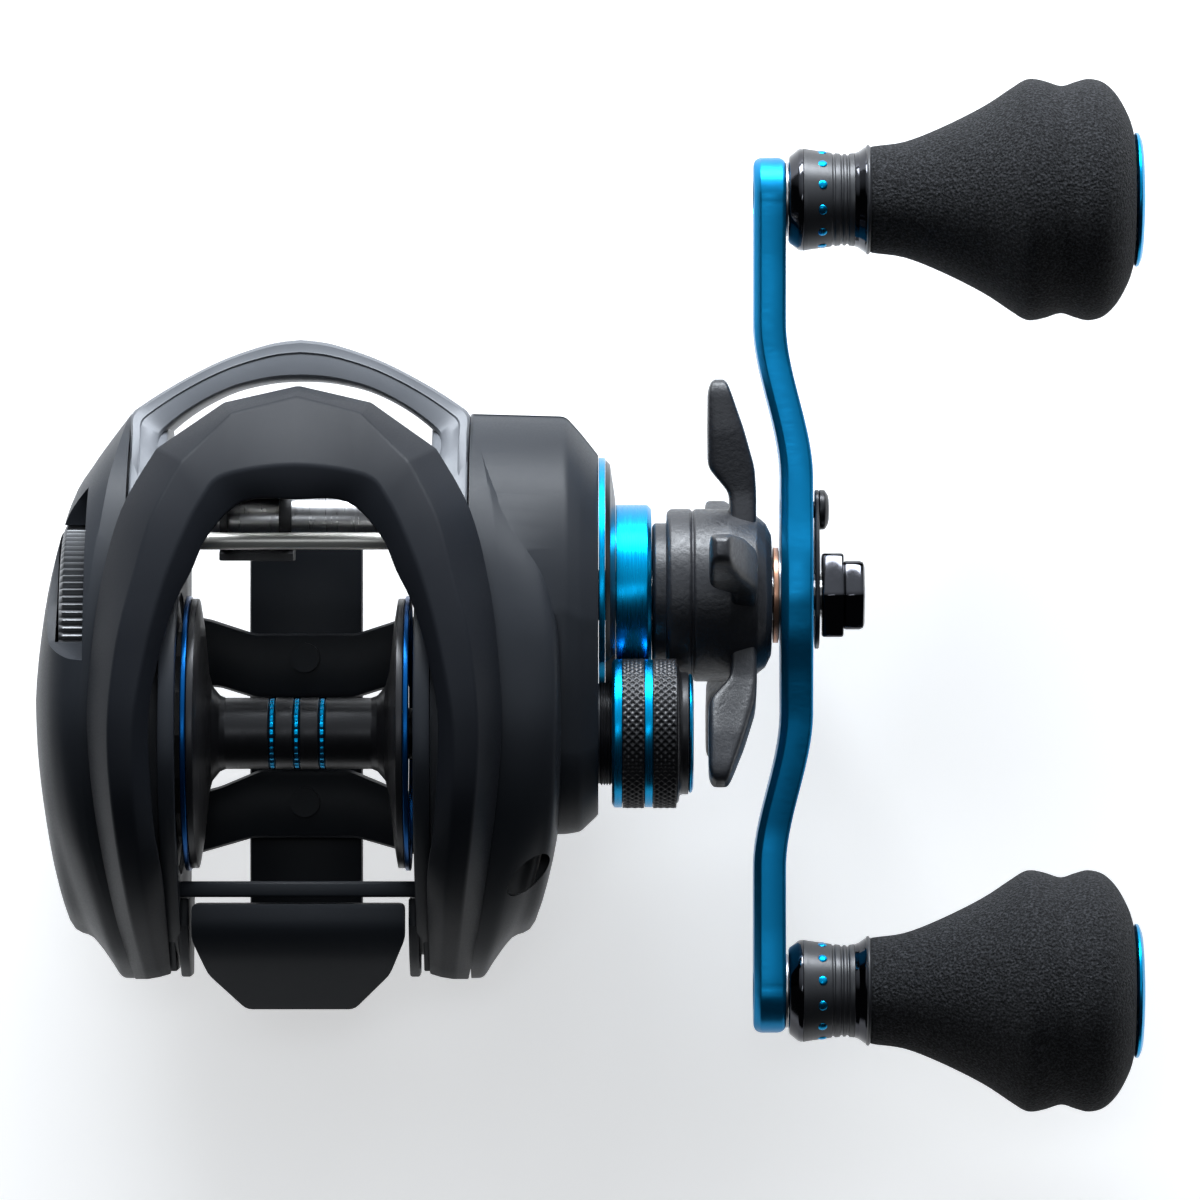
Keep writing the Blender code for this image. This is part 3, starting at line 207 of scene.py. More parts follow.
# Dark tone, light tone, metallic, roughness from and to, grain, relief's strength and depth in
# metres, then how fast the tone drifts and how strong the plain reflection is, where not usual.
SURFACES = {
    "charcoal_paint": ((0.0150, 0.0172, 0.0215), (0.0205, 0.0232, 0.0285), 0.0, (0.40, 0.48), POWDER,
                       0.05, 0.00003, (45, 45, 45), 0.16),
    "hood_paint": ((0.0080, 0.0093, 0.0125), (0.0110, 0.0126, 0.0165), 0.0, (0.42, 0.50), POWDER,
                   0.05, 0.00003, (45, 45, 45), 0.12),
    "satin_grey_paint": ((0.086, 0.092, 0.104), (0.106, 0.113, 0.127), 0.10, (0.38, 0.46), POWDER,
                         0.06, 0.00003, (50, 50, 50), 0.35),
    "dial_grey": ((0.13, 0.134, 0.142), (0.17, 0.174, 0.182), 0.3, (0.32, 0.40), EVEN,
                  0.06, 0.00003, (60, 60, 60), 0.4),
    "blue_anodised": ((0.0, 0.25, 0.52), (0.0, 0.31, 0.62), 0.97, (0.24, 0.32), TURNED,
                      0.05, 0.00003, (90, 90, 90)),
    # rim_blue is a darker copy of the blue anodising: painted shade on the spool rims, which sit between the
    # flanges and the frame walls.
    "rim_blue": ((0.0, 0.055, 0.20), (0.0, 0.075, 0.26), 0.9, (0.26, 0.34), TURNED,
                 0.05, 0.00003, (90, 90, 90)),
    "blue_strap": ((0.0, 0.185, 0.41), (0.0, 0.225, 0.48), 0.85, (0.30, 0.38), (600, 2400, 5200),
                   0.05, 0.00003, (70, 50, 70)),
    "neck_black": ((0.026, 0.027, 0.030), (0.036, 0.037, 0.041), 0.35, (0.34, 0.42), TURNED, 0.06, 0.00003),
    "black_anodised": ((0.012, 0.012, 0.014), (0.020, 0.020, 0.023), 0.4, (0.30, 0.40), TURNED,
                       0.08, 0.00004),
    "cast_black": ((0.014, 0.015, 0.018), (0.024, 0.025, 0.030), 0.1, (0.34, 0.48), (1700, 1700, 1700),
                   0.40, 0.00012),
    "black_chrome": ((0.045, 0.046, 0.052), (0.075, 0.076, 0.085), 1.0, (0.07, 0.12), EVEN,
                     0.03, 0.00003, (80, 80, 80)),
    "steel": ((0.36, 0.36, 0.37), (0.52, 0.52, 0.53), 1.0, (0.26, 0.40), TURNED, 0.12, 0.00004),
    "brass": ((0.52, 0.34, 0.12), (0.64, 0.44, 0.18), 1.0, (0.24, 0.36), TURNED, 0.10, 0.00004),
    "copper": ((0.42, 0.20, 0.12), (0.56, 0.30, 0.20), 0.9, (0.30, 0.42), TURNED, 0.10, 0.00004),
    "chrome": ((0.78, 0.76, 0.70), (0.86, 0.84, 0.79), 0.45, (0.30, 0.38), (4200, 160, 160), 0.05, 0.00003),
    "black_plastic": ((0.012, 0.012, 0.013), (0.019, 0.019, 0.021), 0.0, (0.42, 0.54), EVEN, 0.10, 0.00004),
    "white_nylon": ((0.62, 0.61, 0.56), (0.74, 0.73, 0.68), 0.0, (0.42, 0.52), EVEN, 0.08, 0.00004),
}
FINISH = {name: surface(name, *values) for name, values in SURFACES.items()}
FINISH["foam"] = foam_finish()
FINISH["carbon_fibre"] = weave_finish()


# ---------------- lines

def softened(points, radius, closed=False, steps=3):
    """A line whose corners are each replaced by a small curve."""
    line = [np.array(point, float) for point in points]
    out = []
    for i, corner in enumerate(line):
        if not closed and i in (0, len(line) - 1):
            out.append(corner)
            continue
        before, after = line[i - 1], line[(i + 1) % len(line)]
        far_before, far_after = np.linalg.norm(before - corner), np.linalg.norm(after - corner)
        start = corner + (before - corner) * min(radius / far_before, 0.45)
        end = corner + (after - corner) * min(radius / far_after, 0.45)
        for k in range(steps + 1):
            t = k / steps
            out.append((1 - t) ** 2 * start + 2 * t * (1 - t) * corner + t * t * end)
    return out


def curve_through(points, per_span, closed=False):
    """A smooth line through its points."""
    line = [np.array(point, float) for point in points]
    count = len(line)
    out = []
    for i in range(count if closed else count - 1):
        near = range(i - 1, i + 3)
        a, b, c, d = (line[k % count if closed else min(max(k, 0), count - 1)] for k in near)
        for step in range(per_span):
            t = step / per_span
            out.append(0.5 * (2 * b + (c - a) * t + (2 * a - 5 * b + 4 * c - d) * t ** 2
                              + (3 * b - a - 3 * c + d) * t ** 3))
    if not closed:
        out.append(line[-1])
    return out


def circle(radius, centre=(0.0, 0.0), count=64):
    turn = [2 * pi * k / count for k in range(count)]
    return [(centre[0] + radius * cos(a), centre[1] + radius * sin(a)) for a in turn]


def hexagon(half_width, centre):
    corner = half_width / cos(pi / 6)
    turn = [pi / 6 + k * pi / 3 for k in range(6)]
    return [(centre[0] + corner * cos(a), centre[1] + corner * sin(a)) for a in turn]


def mirrored(half):
    """A plan outline closed by its mirror image across X = 0."""
    return list(half) + [(-x, y) for x, y in reversed(half) if x > 0]


# ---------------- solids

def finished(bm, name):
    """An object in the scene from a mesh under construction."""
    mesh = bpy.data.meshes.new(name)
    bm.to_mesh(mesh)
    bm.free()
    piece = bpy.data.objects.new(name, mesh)
    bpy.context.scene.collection.objects.link(piece)
    return piece


def shade(piece, angle=32):
    piece.data.shade_smooth()
    piece.data.set_sharp_from_angle(angle=radians(angle))
    return piece


def solid(name, points, faces):
    """A mesh object from millimetre points, its faces turned outwards."""
    mesh = bpy.data.meshes.new(name)
    mesh.from_pydata([tuple(float(v) * MM for v in point) for point in points], [], faces)
    bm = bmesh.new()
    bm.from_mesh(mesh)
    bpy.data.meshes.remove(mesh)
    bmesh.ops.remove_doubles(bm, verts=bm.verts, dist=1e-7)
    bmesh.ops.dissolve_degenerate(bm, edges=bm.edges, dist=1e-7)
    bmesh.ops.recalc_face_normals(bm, faces=bm.faces)
    return shade(finished(bm, name))


def turned(name, outer, axis, bore=(), soft=0.2, steps=96, shape=None):
    """A turned piece from low x to high x. A bore is a profile or a radius; shape may move a radius."""
    if isinstance(bore, float):
        bore = [(outer[0][0], bore), (outer[-1][0], bore)]
    if bore:
        loop = softened(list(outer) + list(bore)[::-1], soft, closed=True)
    else:
        loop = softened([(outer[0][0], 0.0)] + list(outer) + [(outer[-1][0], 0.0)], soft)
    points, rows = [], []
    for x, radius in loop:
        if radius < 1e-6:
            rows.append([len(points)])
            points.append((x, axis[0], axis[1]))
            continue
        rows.append(list(range(len(points), len(points) + steps)))
        for k in range(steps):
            angle = 2 * pi * k / steps
            reach = shape(x, radius, angle) if shape else radius
            points.append((x, axis[0] + reach * cos(angle), axis[1] + reach * sin(angle)))
    pairs = list(zip(rows, rows[1:]))
    if bore:
        pairs.append((rows[-1], rows[0]))
    return solid(name, points, row_faces(pairs, steps))


def row_faces(pairs, steps):
    """Faces between neighbouring rings of points, one of which may be a single point."""
    faces = []
    for row, after in pairs:
        for k in range(steps):
            nxt = (k + 1) % steps
            corners = (row[k % len(row)], row[nxt % len(row)], after[nxt % len(after)], after[k % len(after)])
            faces.append(tuple(dict.fromkeys(corners)))
    return faces


def loft(name, rings):
    """A skin through equal closed rings of points, with flat ends."""
    count = len(rings[0])
    points = [point for ring in rings for point in ring]
    rows = [list(range(i * count, (i + 1) * count)) for i in range(len(rings))]
    faces = row_faces(list(zip(rows, rows[1:])), count)
    faces += [tuple(rows[0]), tuple(rows[-1])]
    return solid(name, points, faces)


def inset(outline, amount):
    """An outline moved inwards by its own vertex normals."""
    line = np.array([(p[0], p[1]) for p in outline], float)
    ahead = np.roll(line, -1, axis=0) - line
    turn = float(np.sum(line[:, 0] * np.roll(line[:, 1], -1) - np.roll(line[:, 0], -1) * line[:, 1]))
    normal = np.stack([-ahead[:, 1], ahead[:, 0]], axis=1) * (1.0 if turn > 0 else -1.0)
    normal /= np.maximum(np.linalg.norm(normal, axis=1, keepdims=True), 1e-9)
    both = normal + np.roll(normal, 1, axis=0)
    size = np.maximum(np.linalg.norm(both, axis=1, keepdims=True), 0.6)
    return line + both / size * amount * np.minimum(2.0 / size, 1.5)


def slab(name, outlines, low, high, edge=0.3, across='X', axis=(0.0, 0.0)):
    """A plate with rounded edges: the first outline is its rim, the others are holes."""
    levels = [(low, edge), (low + 0.3 * edge, 0.3 * edge), (low + edge, 0.0),
              (high - edge, 0.0), (high - 0.3 * edge, 0.3 * edge), (high, edge)]
    bm = bmesh.new()
    ends = ([], [])
    for number, outline in enumerate(outlines):
        sign = 1.0 if number == 0 else -1.0
        rows = []
        for level, drawn in levels:
            row = []
            for u, v in inset(outline, sign * drawn):
                place = (level, u + axis[0], v + axis[1]) if across == 'X' else (u, v, level)
                row.append(bm.verts.new(Vector(place) * MM))
            rows.append(row)
        for row, after in zip(rows, rows[1:]):
            for corners in zip(row, row[1:] + row[:1], after[1:] + after[:1], after):
                bm.faces.new(corners)
        for end, row in zip(ends, (rows[0], rows[-1])):
            end += [bm.edges.get(pair) for pair in zip(row, row[1:] + row[:1])]
    for end in ends:
        bmesh.ops.triangle_fill(bm, use_beauty=True, use_dissolve=False, edges=end)
    bmesh.ops.recalc_face_normals(bm, faces=bm.faces)
    return shade(finished(bm, name))


def combine(piece, operation, *tools):
    """Join or cut with tools, which are then gone."""
    for tool in tools:
        step = piece.modifiers.new("step", 'BOOLEAN')
        step.operation = operation
        step.solver = 'EXACT'
        step.object = tool
    return settle(piece, tools)


def settle(piece, tools=()):
    """The piece's modifiers made part of its mesh."""
    bpy.context.view_layer.update()
    ready = piece.evaluated_get(bpy.context.evaluated_depsgraph_get())
    mesh = bpy.data.meshes.new_from_object(ready)
    piece.modifiers.clear()
    piece.data = mesh
    for tool in tools:
        bpy.data.objects.remove(tool)
    return shade(piece)


def rounded(piece, width, segments=2, angle=30):
    """Bevelled edges wherever two faces meet at more than an angle."""
    bevel = piece.modifiers.new("edges", 'BEVEL')
    bevel.width = width * MM
    bevel.segments = segments
    bevel.limit_method = 'ANGLE'
    bevel.angle_limit = radians(angle)
    bevel.harden_normals = False
    return settle(piece)


def stand(piece, body, finish, *nodes):
    """Give a piece its finish and body, and hide the CAD nodes that it stands for."""
    piece.data.materials.clear()
    piece.data.materials.append(FINISH[finish])
    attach(piece, body)
    if nodes:
        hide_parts(*nodes)
    return piece


# ---------------- frame and foot

WALL_IN, WALL_OUT, SEAM = 13.8, 15.8, 20.0
SPOOL_HOLE = 16.5
WALL_SIDE = [(-28.5, 16.0), (-26.5, 24.5), (-20.5, 32.2), (-13.0, 39.2), (-7.0, 42.0), (-2.0, 42.6),
             (3.5, 41.8), (8.5, 39.6), (13.0, 36.4), (20.0, 33.0), (25.6, 29.0), (28.2, 22.0),
             (28.6, 14.0), (27.4, 6.0), (23.0, 3.2), (10.0, 3.2), (-6.0, 3.2), (-20.0, 3.2), (-26.0, 7.5)]
RIM_SIDE = [(-28.5, 14.0), (-26.5, 22.5), (-20.0, 29.6), (-12.0, 34.8), (-2.0, 37.0), (7.0, 36.6),
            (14.0, 35.2), (21.0, 32.4), (28.0, 27.8), (33.0, 22.0), (35.4, 16.5), (34.5, 9.5), (31.5, 5.5),
            (25.0, 3.2), (8.0, 3.0), (-8.0, 3.0), (-20.0, 3.4), (-26.0, 6.5)]
RIM_CENTRE = (2.0, 18.0)
# The nose arch from the right seam to the middle: outer edge, inner edge, height of its top.
NOSE = [((20.0, 27.0), (16.4, 27.0), 28.6), ((20.0, 30.5), (16.4, 30.0), 26.0),
        ((20.0, 33.6), (16.4, 31.6), 23.4), ((20.0, 35.7), (16.35, 33.0), 21.8),
        ((18.7, 36.9), (15.4, 34.2), 21.0), ((15.8, 38.8), (13.1, 36.0), 20.5),
        ((12.6, 40.6), (10.6, 37.5), 20.4), ((9.4, 42.15), (7.9, 38.7), 20.4),
        ((6.2, 43.35), (5.2, 39.4), 20.4), ((3.0, 44.25), (2.6, 39.8), 20.4),
        ((0.0, 44.6), (0.0, 39.9), 20.4)]
NOSE_LOW = 9.0
# The arch's upper face from the inner edge (0) to the outer one (1), with its rise above the top.
NOSE_SECTION = [(0.0, -0.5), (0.05, 0.15), (0.12, 0.35), (0.40, 0.15), (0.64, -0.2), (0.69, -0.1),
                (0.74, -0.22), (0.92, -0.5), (1.0, -1.2)]


def scaled(outline, centre, factor):
    return [(centre[0] + (u - centre[0]) * factor, centre[1] + (v - centre[1]) * factor)
            for u, v in outline]


def make_walls():
    """Side walls with the spool's opening, the rims out to each seam, rails and bar guides."""
    wall = curve_through(WALL_SIDE, 4, closed=True)
    rim = curve_through(RIM_SIDE, 4, closed=True)
    holes = [circle(SPOOL_HOLE, SPOOL, 96), circle(1.6, WORM, 24)]
    rail = [(-18.2, 14.0), (-18.2, 32.2), (-20.5, 31.2), (-25.0, 26.2), (-30.3, 19.6), (-30.3, 13.0),
            (-24.0, 9.0)]
    block = [(-21.4, 12.0), (-21.4, 26.4), (-24.6, 26.8), (-28.4, 23.6), (-31.0, 19.0), (-31.0, 13.5)]
    parts = [("frame_wall", [wall] + holes, WALL_IN, WALL_OUT, 0.35, "charcoal_paint"),
             ("frame_rim", [rim, scaled(rim, RIM_CENTRE, 0.90)], WALL_OUT - 0.2, SEAM, 0.45,
              "satin_grey_paint"),
             ("frame_rail", [rail], 14.65, 15.5, 0.15, "charcoal_paint"),
             ("bar_guide", [block], 12.95, 14.2, 0.25, "charcoal_paint")]
    for side, sign in SIDES.items():
        for name, outlines, near, far, edge, finish in parts:
            low, high = sorted((sign * near, sign * far))
            nodes = ["frame"] if (name, side) == ("frame_wall", "right") else []
            stand(slab(f"{name}_{side}", outlines, low, high, edge), "frame", finish, *nodes)


def make_nose():
    """The arch ahead of the line guide: a band that slopes outwards, with a fine ridge along it."""
    half = curve_through([(*outer, *inner, top) for outer, inner, top in NOSE], 3)
    whole = half + [np.array((-a, b, -c, d, top)) for a, b, c, d, top in half[-2::-1]]
    rings = []
    for x_out, y_out, x_in, y_in, top in whole:
        across = [(0.0, NOSE_LOW)] + [(u, top + rise) for u, rise in NOSE_SECTION] + [(1.0, NOSE_LOW)]
        rings.append([(x_in + (x_out - x_in) * u, y_in + (y_out - y_in) * u, z) for u, z in across])
    stand(loft("frame_nose", rings), "frame", "satin_grey_paint")


def make_bars():
    """Two lower bars, the bar behind the spool and the foot."""
    front = [(0.0, 1.9), (6.0, 1.9), (10.2, 3.2), (14.2, 3.4), (14.2, 11.9), (11.4, 11.4), (6.2, 9.7),
             (0.0, 9.7)]
    middle = [(0.0, -6.7), (5.4, -6.7), (10.2, -8.7), (14.2, -9.8), (14.2, -17.2), (11.4, -16.4),
              (6.2, -14.9), (0.0, -14.9)]
    for name, half in (("frame_front_bar", front), ("frame_middle_bar", middle)):
        outline = softened(mirrored(half), 0.5, closed=True, steps=2)
        stand(slab(name, [outline], 3.2, 6.6, 0.8, across='Z'), "frame", "charcoal_paint")
    rear = [(-21.2, 25.6), (-19.5, 25.6), (-19.3, 28.2), (-20.0, 28.5), (-21.2, 28.5)]
    stand(slab("frame_rear_bar", [softened(rear, 0.35, True)], -13.9, 13.9, 0.1), "frame",
          "charcoal_paint")
    foot = [(0.0, 32.0), (3.2, 31.3), (5.8, 28.6), (6.8, 24.6), (6.8, 12.0), (6.8, -2.0), (6.8, -14.0),
            (6.8, -25.6), (5.8, -29.6), (3.2, -32.3), (0.0, -33.0)]
    piece = slab("reel_foot_shaped", [softened(mirrored(foot), 1.5, True)], 0.0, 2.8, 0.45, across='Z')
    for vert in piece.data.vertices:
        if vert.co.z > 0.0012:
            reach = max(0.0, abs(vert.co.y / MM + 0.5) - 15.5) / 17.0
            vert.co.z -= 1.5 * MM * reach
    stand(piece, "frame", "charcoal_paint", "reel_foot")


# ---------------- hood

RIDGE_Y = [-31.8, -26.0, -20.0, -12.0, -2.0, 5.0, 13.0, 20.0, 28.0, 36.0, 39.1]
RIDGE_Z = [19.5, 31.5, 38.5, 43.0, 44.6, 44.2, 43.0, 41.3, 38.6, 34.4, 30.5]
HOOD_LINES = [
    ((0.0, 25.4), (0.0, 29.5), (0.0, 37.6), (0.0, 39.05)),
    ((6.0, 25.1), (8.2, 28.3), (7.5, 35.6), (8.7, 37.0)),
    ((9.9, 21.2), (10.8, 25.6), (13.2, 29.9), (16.5, 31.5)),
    ((11.8, 17.0), (13.0, 21.2), (16.4, 23.8), (20.5, 24.3)),
    ((13.7, 13.0), (15.0, 16.0), (18.4, 17.0), (22.8, 15.3)),
    ((15.6, 6.2), (16.9, 8.8), (20.4, 8.8), (23.9, 6.2)),
    ((16.6, -0.6), (18.5, -0.9), (21.4, -1.3), (24.2, -1.7)),
    ((16.1, -12.0), (18.3, -12.0), (20.8, -12.0), (23.3, -11.9)),
    ((15.2, -19.5), (17.4, -22.0), (19.5, -22.6), (21.6, -23.2)),
    ((15.2, -30.7), (16.7, -31.1), (18.3, -31.4), (19.95, -31.6)),
]
# How far each of the four lines lies below the ridge, the outermost one at each y.
HOOD_DROPS = (1.8, 0.0, 0.4)
SKIRT_Y = [-31.6, -20.0, -2.0, 20.0, 30.0]
SKIRT_DROP = [4.0, 6.8, 5.8, 5.4, 4.0]
HOOD_WALL = 1.4
SMOOTH_TRACKS = 2                 # the opening's edge and the inner ridge are smooth all the way
CRISP_LINES = 2                   # straight facets at the front, before the other two turn smooth
HOOD_STEPS = 5


def make_hood():
    """The top cover: flat facets round the front corners that run into smooth sides."""
    tracks = []
    for number in range(len(HOOD_LINES[0])):
        track = []
        for x, y in (line[number] for line in HOOD_LINES):
            skirt = float(np.interp(y, SKIRT_Y, SKIRT_DROP))
            drop = HOOD_DROPS[number] if number < len(HOOD_DROPS) else skirt
            track.append((x, y, float(np.interp(y, RIDGE_Y, RIDGE_Z)) - drop))
        mirror_point = (-track[1][0], *track[1][1:])
        if number < SMOOTH_TRACKS:
            tracks.append(curve_through([mirror_point] + track, HOOD_STEPS)[HOOD_STEPS:])
            continue
        straight = []
        for start, end in zip(track[:CRISP_LINES], track[1:CRISP_LINES + 1]):
            for step in range(HOOD_STEPS):
                straight.append(np.array(start) + (np.array(end) - np.array(start)) * step / HOOD_STEPS)
        tracks.append(straight + curve_through(track[CRISP_LINES:], HOOD_STEPS))
    rows = [np.concatenate(row) for row in zip(*tracks)]
    points = [tuple(row[k:k + 3]) for row in rows for k in (0, 3, 6, 9)]
    corners = [4 * i + k for i in range(len(rows) - 1) for k in range(3)]
    faces = [(a, a + 4, a + 5, a + 1) for a in corners]
    hood = solid("hood", points, faces)
    if hood.data.polygons[0].normal.z < 0:
        hood.data.flip_normals()
    mirror = hood.modifiers.new("mirror", 'MIRROR')
    mirror.merge_threshold = 0.00001
    wall = hood.modifiers.new("wall", 'SOLIDIFY')
    wall.thickness = HOOD_WALL * MM
    wall.offset = -1.0
    settle(hood)
    rounded(hood, 0.35, 3, 16)
    shade(hood, 24)
    stand(hood, "frame", "hood_paint", "front_hood")


# ---------------- side covers

COVER_SIDE = [(-31.5, 11.0), (-30.6, 16.0), (-27.5, 23.0), (-20.5, 30.5), (-12.0, 35.8), (-2.0, 38.0),
              (7.0, 37.6), (14.0, 36.2), (21.0, 33.4), (28.0, 28.8), (33.0, 22.5), (35.9, 13.5),
              (34.6, 6.0), (29.5, 0.8), (20.0, -1.9), (5.0, -2.3), (-12.0, -1.5), (-24.0, 1.2),
              (-29.8, 5.5)]
COVER_CENTRE = (2.0, 15.0)
COVER_TIP_X = 31.0
COVER_TIP = (-4.5, 3.0, 12.0, 25.5)   # rearmost and foremost y, lowest and highest z of the end face
# Where the crease runs: its distance from the middle plane at each y.
CREASE_Y = [-31.7, -29.5, -23.0, -15.0, -3.0, 4.0, 9.0, 19.0, 28.0, 35.9]
CREASE_X = [20.6, 20.9, 22.2, 24.0, 25.0, 24.9, 24.6, 23.5, 22.2, 20.5]
# From the crease (0) to the end face (1): how far out, and how much of the outline's size is left.
FALL_FRONT = [(0.0, 1.0), (0.20, 0.915), (0.41, 0.82), (0.626, 0.70), (0.84, 0.425), (0.953, 0.167),
              (1.0, 0.0)]
FALL_REAR = [(0.0, 1.0), (0.10, 0.99), (0.22, 0.92), (0.42, 0.82), (0.69, 0.745), (0.90, 0.40), (1.0, 0.0)]
FALL_TOP = [(0.0, 1.0), (0.22, 0.965), (0.43, 0.90), (0.64, 0.78), (0.82, 0.57), (0.94, 0.29), (1.0, 0.0)]
FALL_FULL = [(0.0, 1.0), (0.30, 0.995), (0.55, 0.985), (0.75, 0.965), (0.88, 0.93), (0.95, 0.86),
             (1.0, 0.7)]


def cover_rings(sign, shrink=0.0):
    """Rings of one cover's outer form, or of the hollow a wall's thickness inside it."""
    cy, cz = COVER_CENTRE
    rear, front, low, high = COVER_TIP
    edge = [(cy + (y - cy) * (1 - shrink / 33.0), cz + (z - cz) * (1 - shrink / 22.0))
            for y, z in curve_through(COVER_SIDE, 5, closed=True)]
    ys, zs = zip(*edge)
    upper = FALL_TOP if sign < 0 else FALL_FULL
    falls = [curve_through(fall, 4) for fall in (FALL_FRONT, FALL_REAR, upper)]
    rings = [[(sign * (SEAM + SEAM_GAP), y, z) for y, z in edge]]
    for k in range(len(falls[0])):
        ring = []
        for y, z in edge:
            side = (y - cy) / (max(ys) - cy if y > cy else cy - min(ys))
            up = (z - cz) / (max(zs) - cz if z > cz else cz - min(zs))
            tip_y = cy + side * (front - cy if y > cy else cy - rear)
            tip_z = cz + up * (high - cz if z > cz else cz - low)
            facing = side * side
            out, left = falls[0 if side > 0 else 1][k] * facing + falls[2][k] * (1 - facing)
            crease = float(np.interp(y, CREASE_Y, CREASE_X))
            x = crease + (COVER_TIP_X - crease) * out - shrink * 0.9
            ring.append((sign * max(x, SEAM + SEAM_GAP + 0.1), tip_y + (y - tip_y) * left,
                         tip_z + (z - tip_z) * left))
        rings.append(ring)
    return rings


def seam_opening(low, high):
    """A cutter for a cover's open side, a little smaller than its outline."""
    edge = scaled(curve_through(COVER_SIDE, 5, closed=True), COVER_CENTRE, 0.95)
    return slab("opening", [edge], low, high, 0.01)


COVER_WALL = 1.5
SCOOP = [(6.0, 40.0), (6.9, 37.0), (8.9, 33.4), (13.0, 29.8), (18.0, 26.8), (22.3, 24.8), (25.6, 25.2),
         (28.4, 26.6), (30.6, 29.5), (30.6, 40.0)]
DIAL_LOW, DIAL_HIGH = span("brake_dial")


def make_palm_cover():
    """Cover with the scooped pocket that bares the brake dial's rim."""
    cover = loft("palm_cover", cover_rings(-1))
    scoop_edge = DIAL_HIGH + 0.15
    combine(cover, 'DIFFERENCE', slab("scoop", [SCOOP], -36.0, scoop_edge, 0.01))
    hollow = loft("palm_hollow", cover_rings(-1, COVER_WALL))
    deeper = [(y, z - COVER_WALL if z < 39.0 else z) for y, z in SCOOP]
    deeper[0] = (6.0 - COVER_WALL, 40.0)
    combine(hollow, 'DIFFERENCE', slab("deeper", [deeper], -38.0, scoop_edge + COVER_WALL, 0.01))
    room = turned("room", [(DIAL_LOW - 0.3, 14.1), (DIAL_HIGH + 0.25, 14.1)], DIAL, soft=0.0)
    combine(cover, 'DIFFERENCE', hollow, seam_opening(-SEAM - 1.0, -SEAM + 2.0), room)
    shade(cover, 28)
    stand(cover, "frame", "charcoal_paint", "palm_side_cover")


DIAL_R = 13.6
DIAL_RIDGES = 92


def make_dial():
    """The brake dial: fine straight ridges round the rim and a dished face."""
    def ridge(x, radius, angle):
        if radius < DIAL_R - 0.8:
            return radius
        wave = 0.5 + 0.5 * cos(DIAL_RIDGES * angle)
        return radius - 0.55 * (1.0 - wave ** 0.6)
    dial = turned("brake_dial_ridged", [(DIAL_LOW, 12.6), (DIAL_LOW + 0.5, DIAL_R), (DIAL_HIGH, DIAL_R)],
                  DIAL, [(DIAL_LOW + 0.6, 1.9), (DIAL_HIGH, 1.9)], 0.15, DIAL_RIDGES * 6, ridge)
    stand(dial, "dial", "dial_grey", "brake_dial")


DRUM_REACH = 21.35
# How far the housing lies below the cover's outline at each y.
STEP_Y = [-14.0, 8.0, 16.0, 22.0, 30.0, 36.0]
STEP_Z = [2.6, 2.2, 1.5, 0.95, 0.5, 0.1]
# Gear housing on the handle side: x, rearmost y, foremost y, lowest z, highest z.
DRUM = [(20.4, -13.9, 35.9, -4.4, 34.9), (31.4, -14.0, 35.6, -4.4, 34.9), (33.2, -13.7, 33.6, -3.4, 34.4),
        (35.1, -11.9, 31.2, -1.6, 33.2), (35.3, -11.6, 30.9, -1.3, 33.0)]


def drum_outline():
    """A teardrop round the drive and spool axes, kept a step below the cover's outline."""
    top = sorted((y, z) for y, z in curve_through(COVER_SIDE, 4, closed=True) if z > COVER_CENTRE[1])
    line = []
    for k in range(120):
        angle = 2 * pi * k / 120
        y, z = cos(angle), sin(angle)
        big = (DRIVE[0] + DRUM_REACH * y, DRIVE[1] + 1.0 + 20.6 * z)
        small = (SPOOL[0] + 12.0 * y, SPOOL[1] - 3.5 + 12.4 * z)
        u, v = big if big[0] * y + big[1] * z > small[0] * y + small[1] * z else small
        middle = DRIVE[1] + 1.0
        if v > middle:
            limit = float(np.interp(u, [p[0] for p in top], [p[1] for p in top]))
            v = min(v, max(limit - float(np.interp(u, STEP_Y, STEP_Z)), middle))
        line.append((u, v))
    return line


def drum_rings(shrink=0.0):
    """The housing's outline stretched to each of its stations."""
    outline = drum_outline()
    ys, zs = zip(*outline)
    reach = (min(ys), max(ys), min(zs), max(zs))
    rings = []
    for x, rear, front, low, high in softened(DRUM, 0.7, steps=3):
        high = min(high, reach[3])
        ring = []
        for y, z in outline:
            along = (y - reach[0]) / (reach[1] - reach[0])
            up = (z - reach[2]) / (reach[3] - reach[2])
            ring.append((x - shrink, rear + shrink + (front - rear - 2 * shrink) * along,
                         low + shrink + (high - low - 2 * shrink) * up))
        rings.append(ring)
    return rings


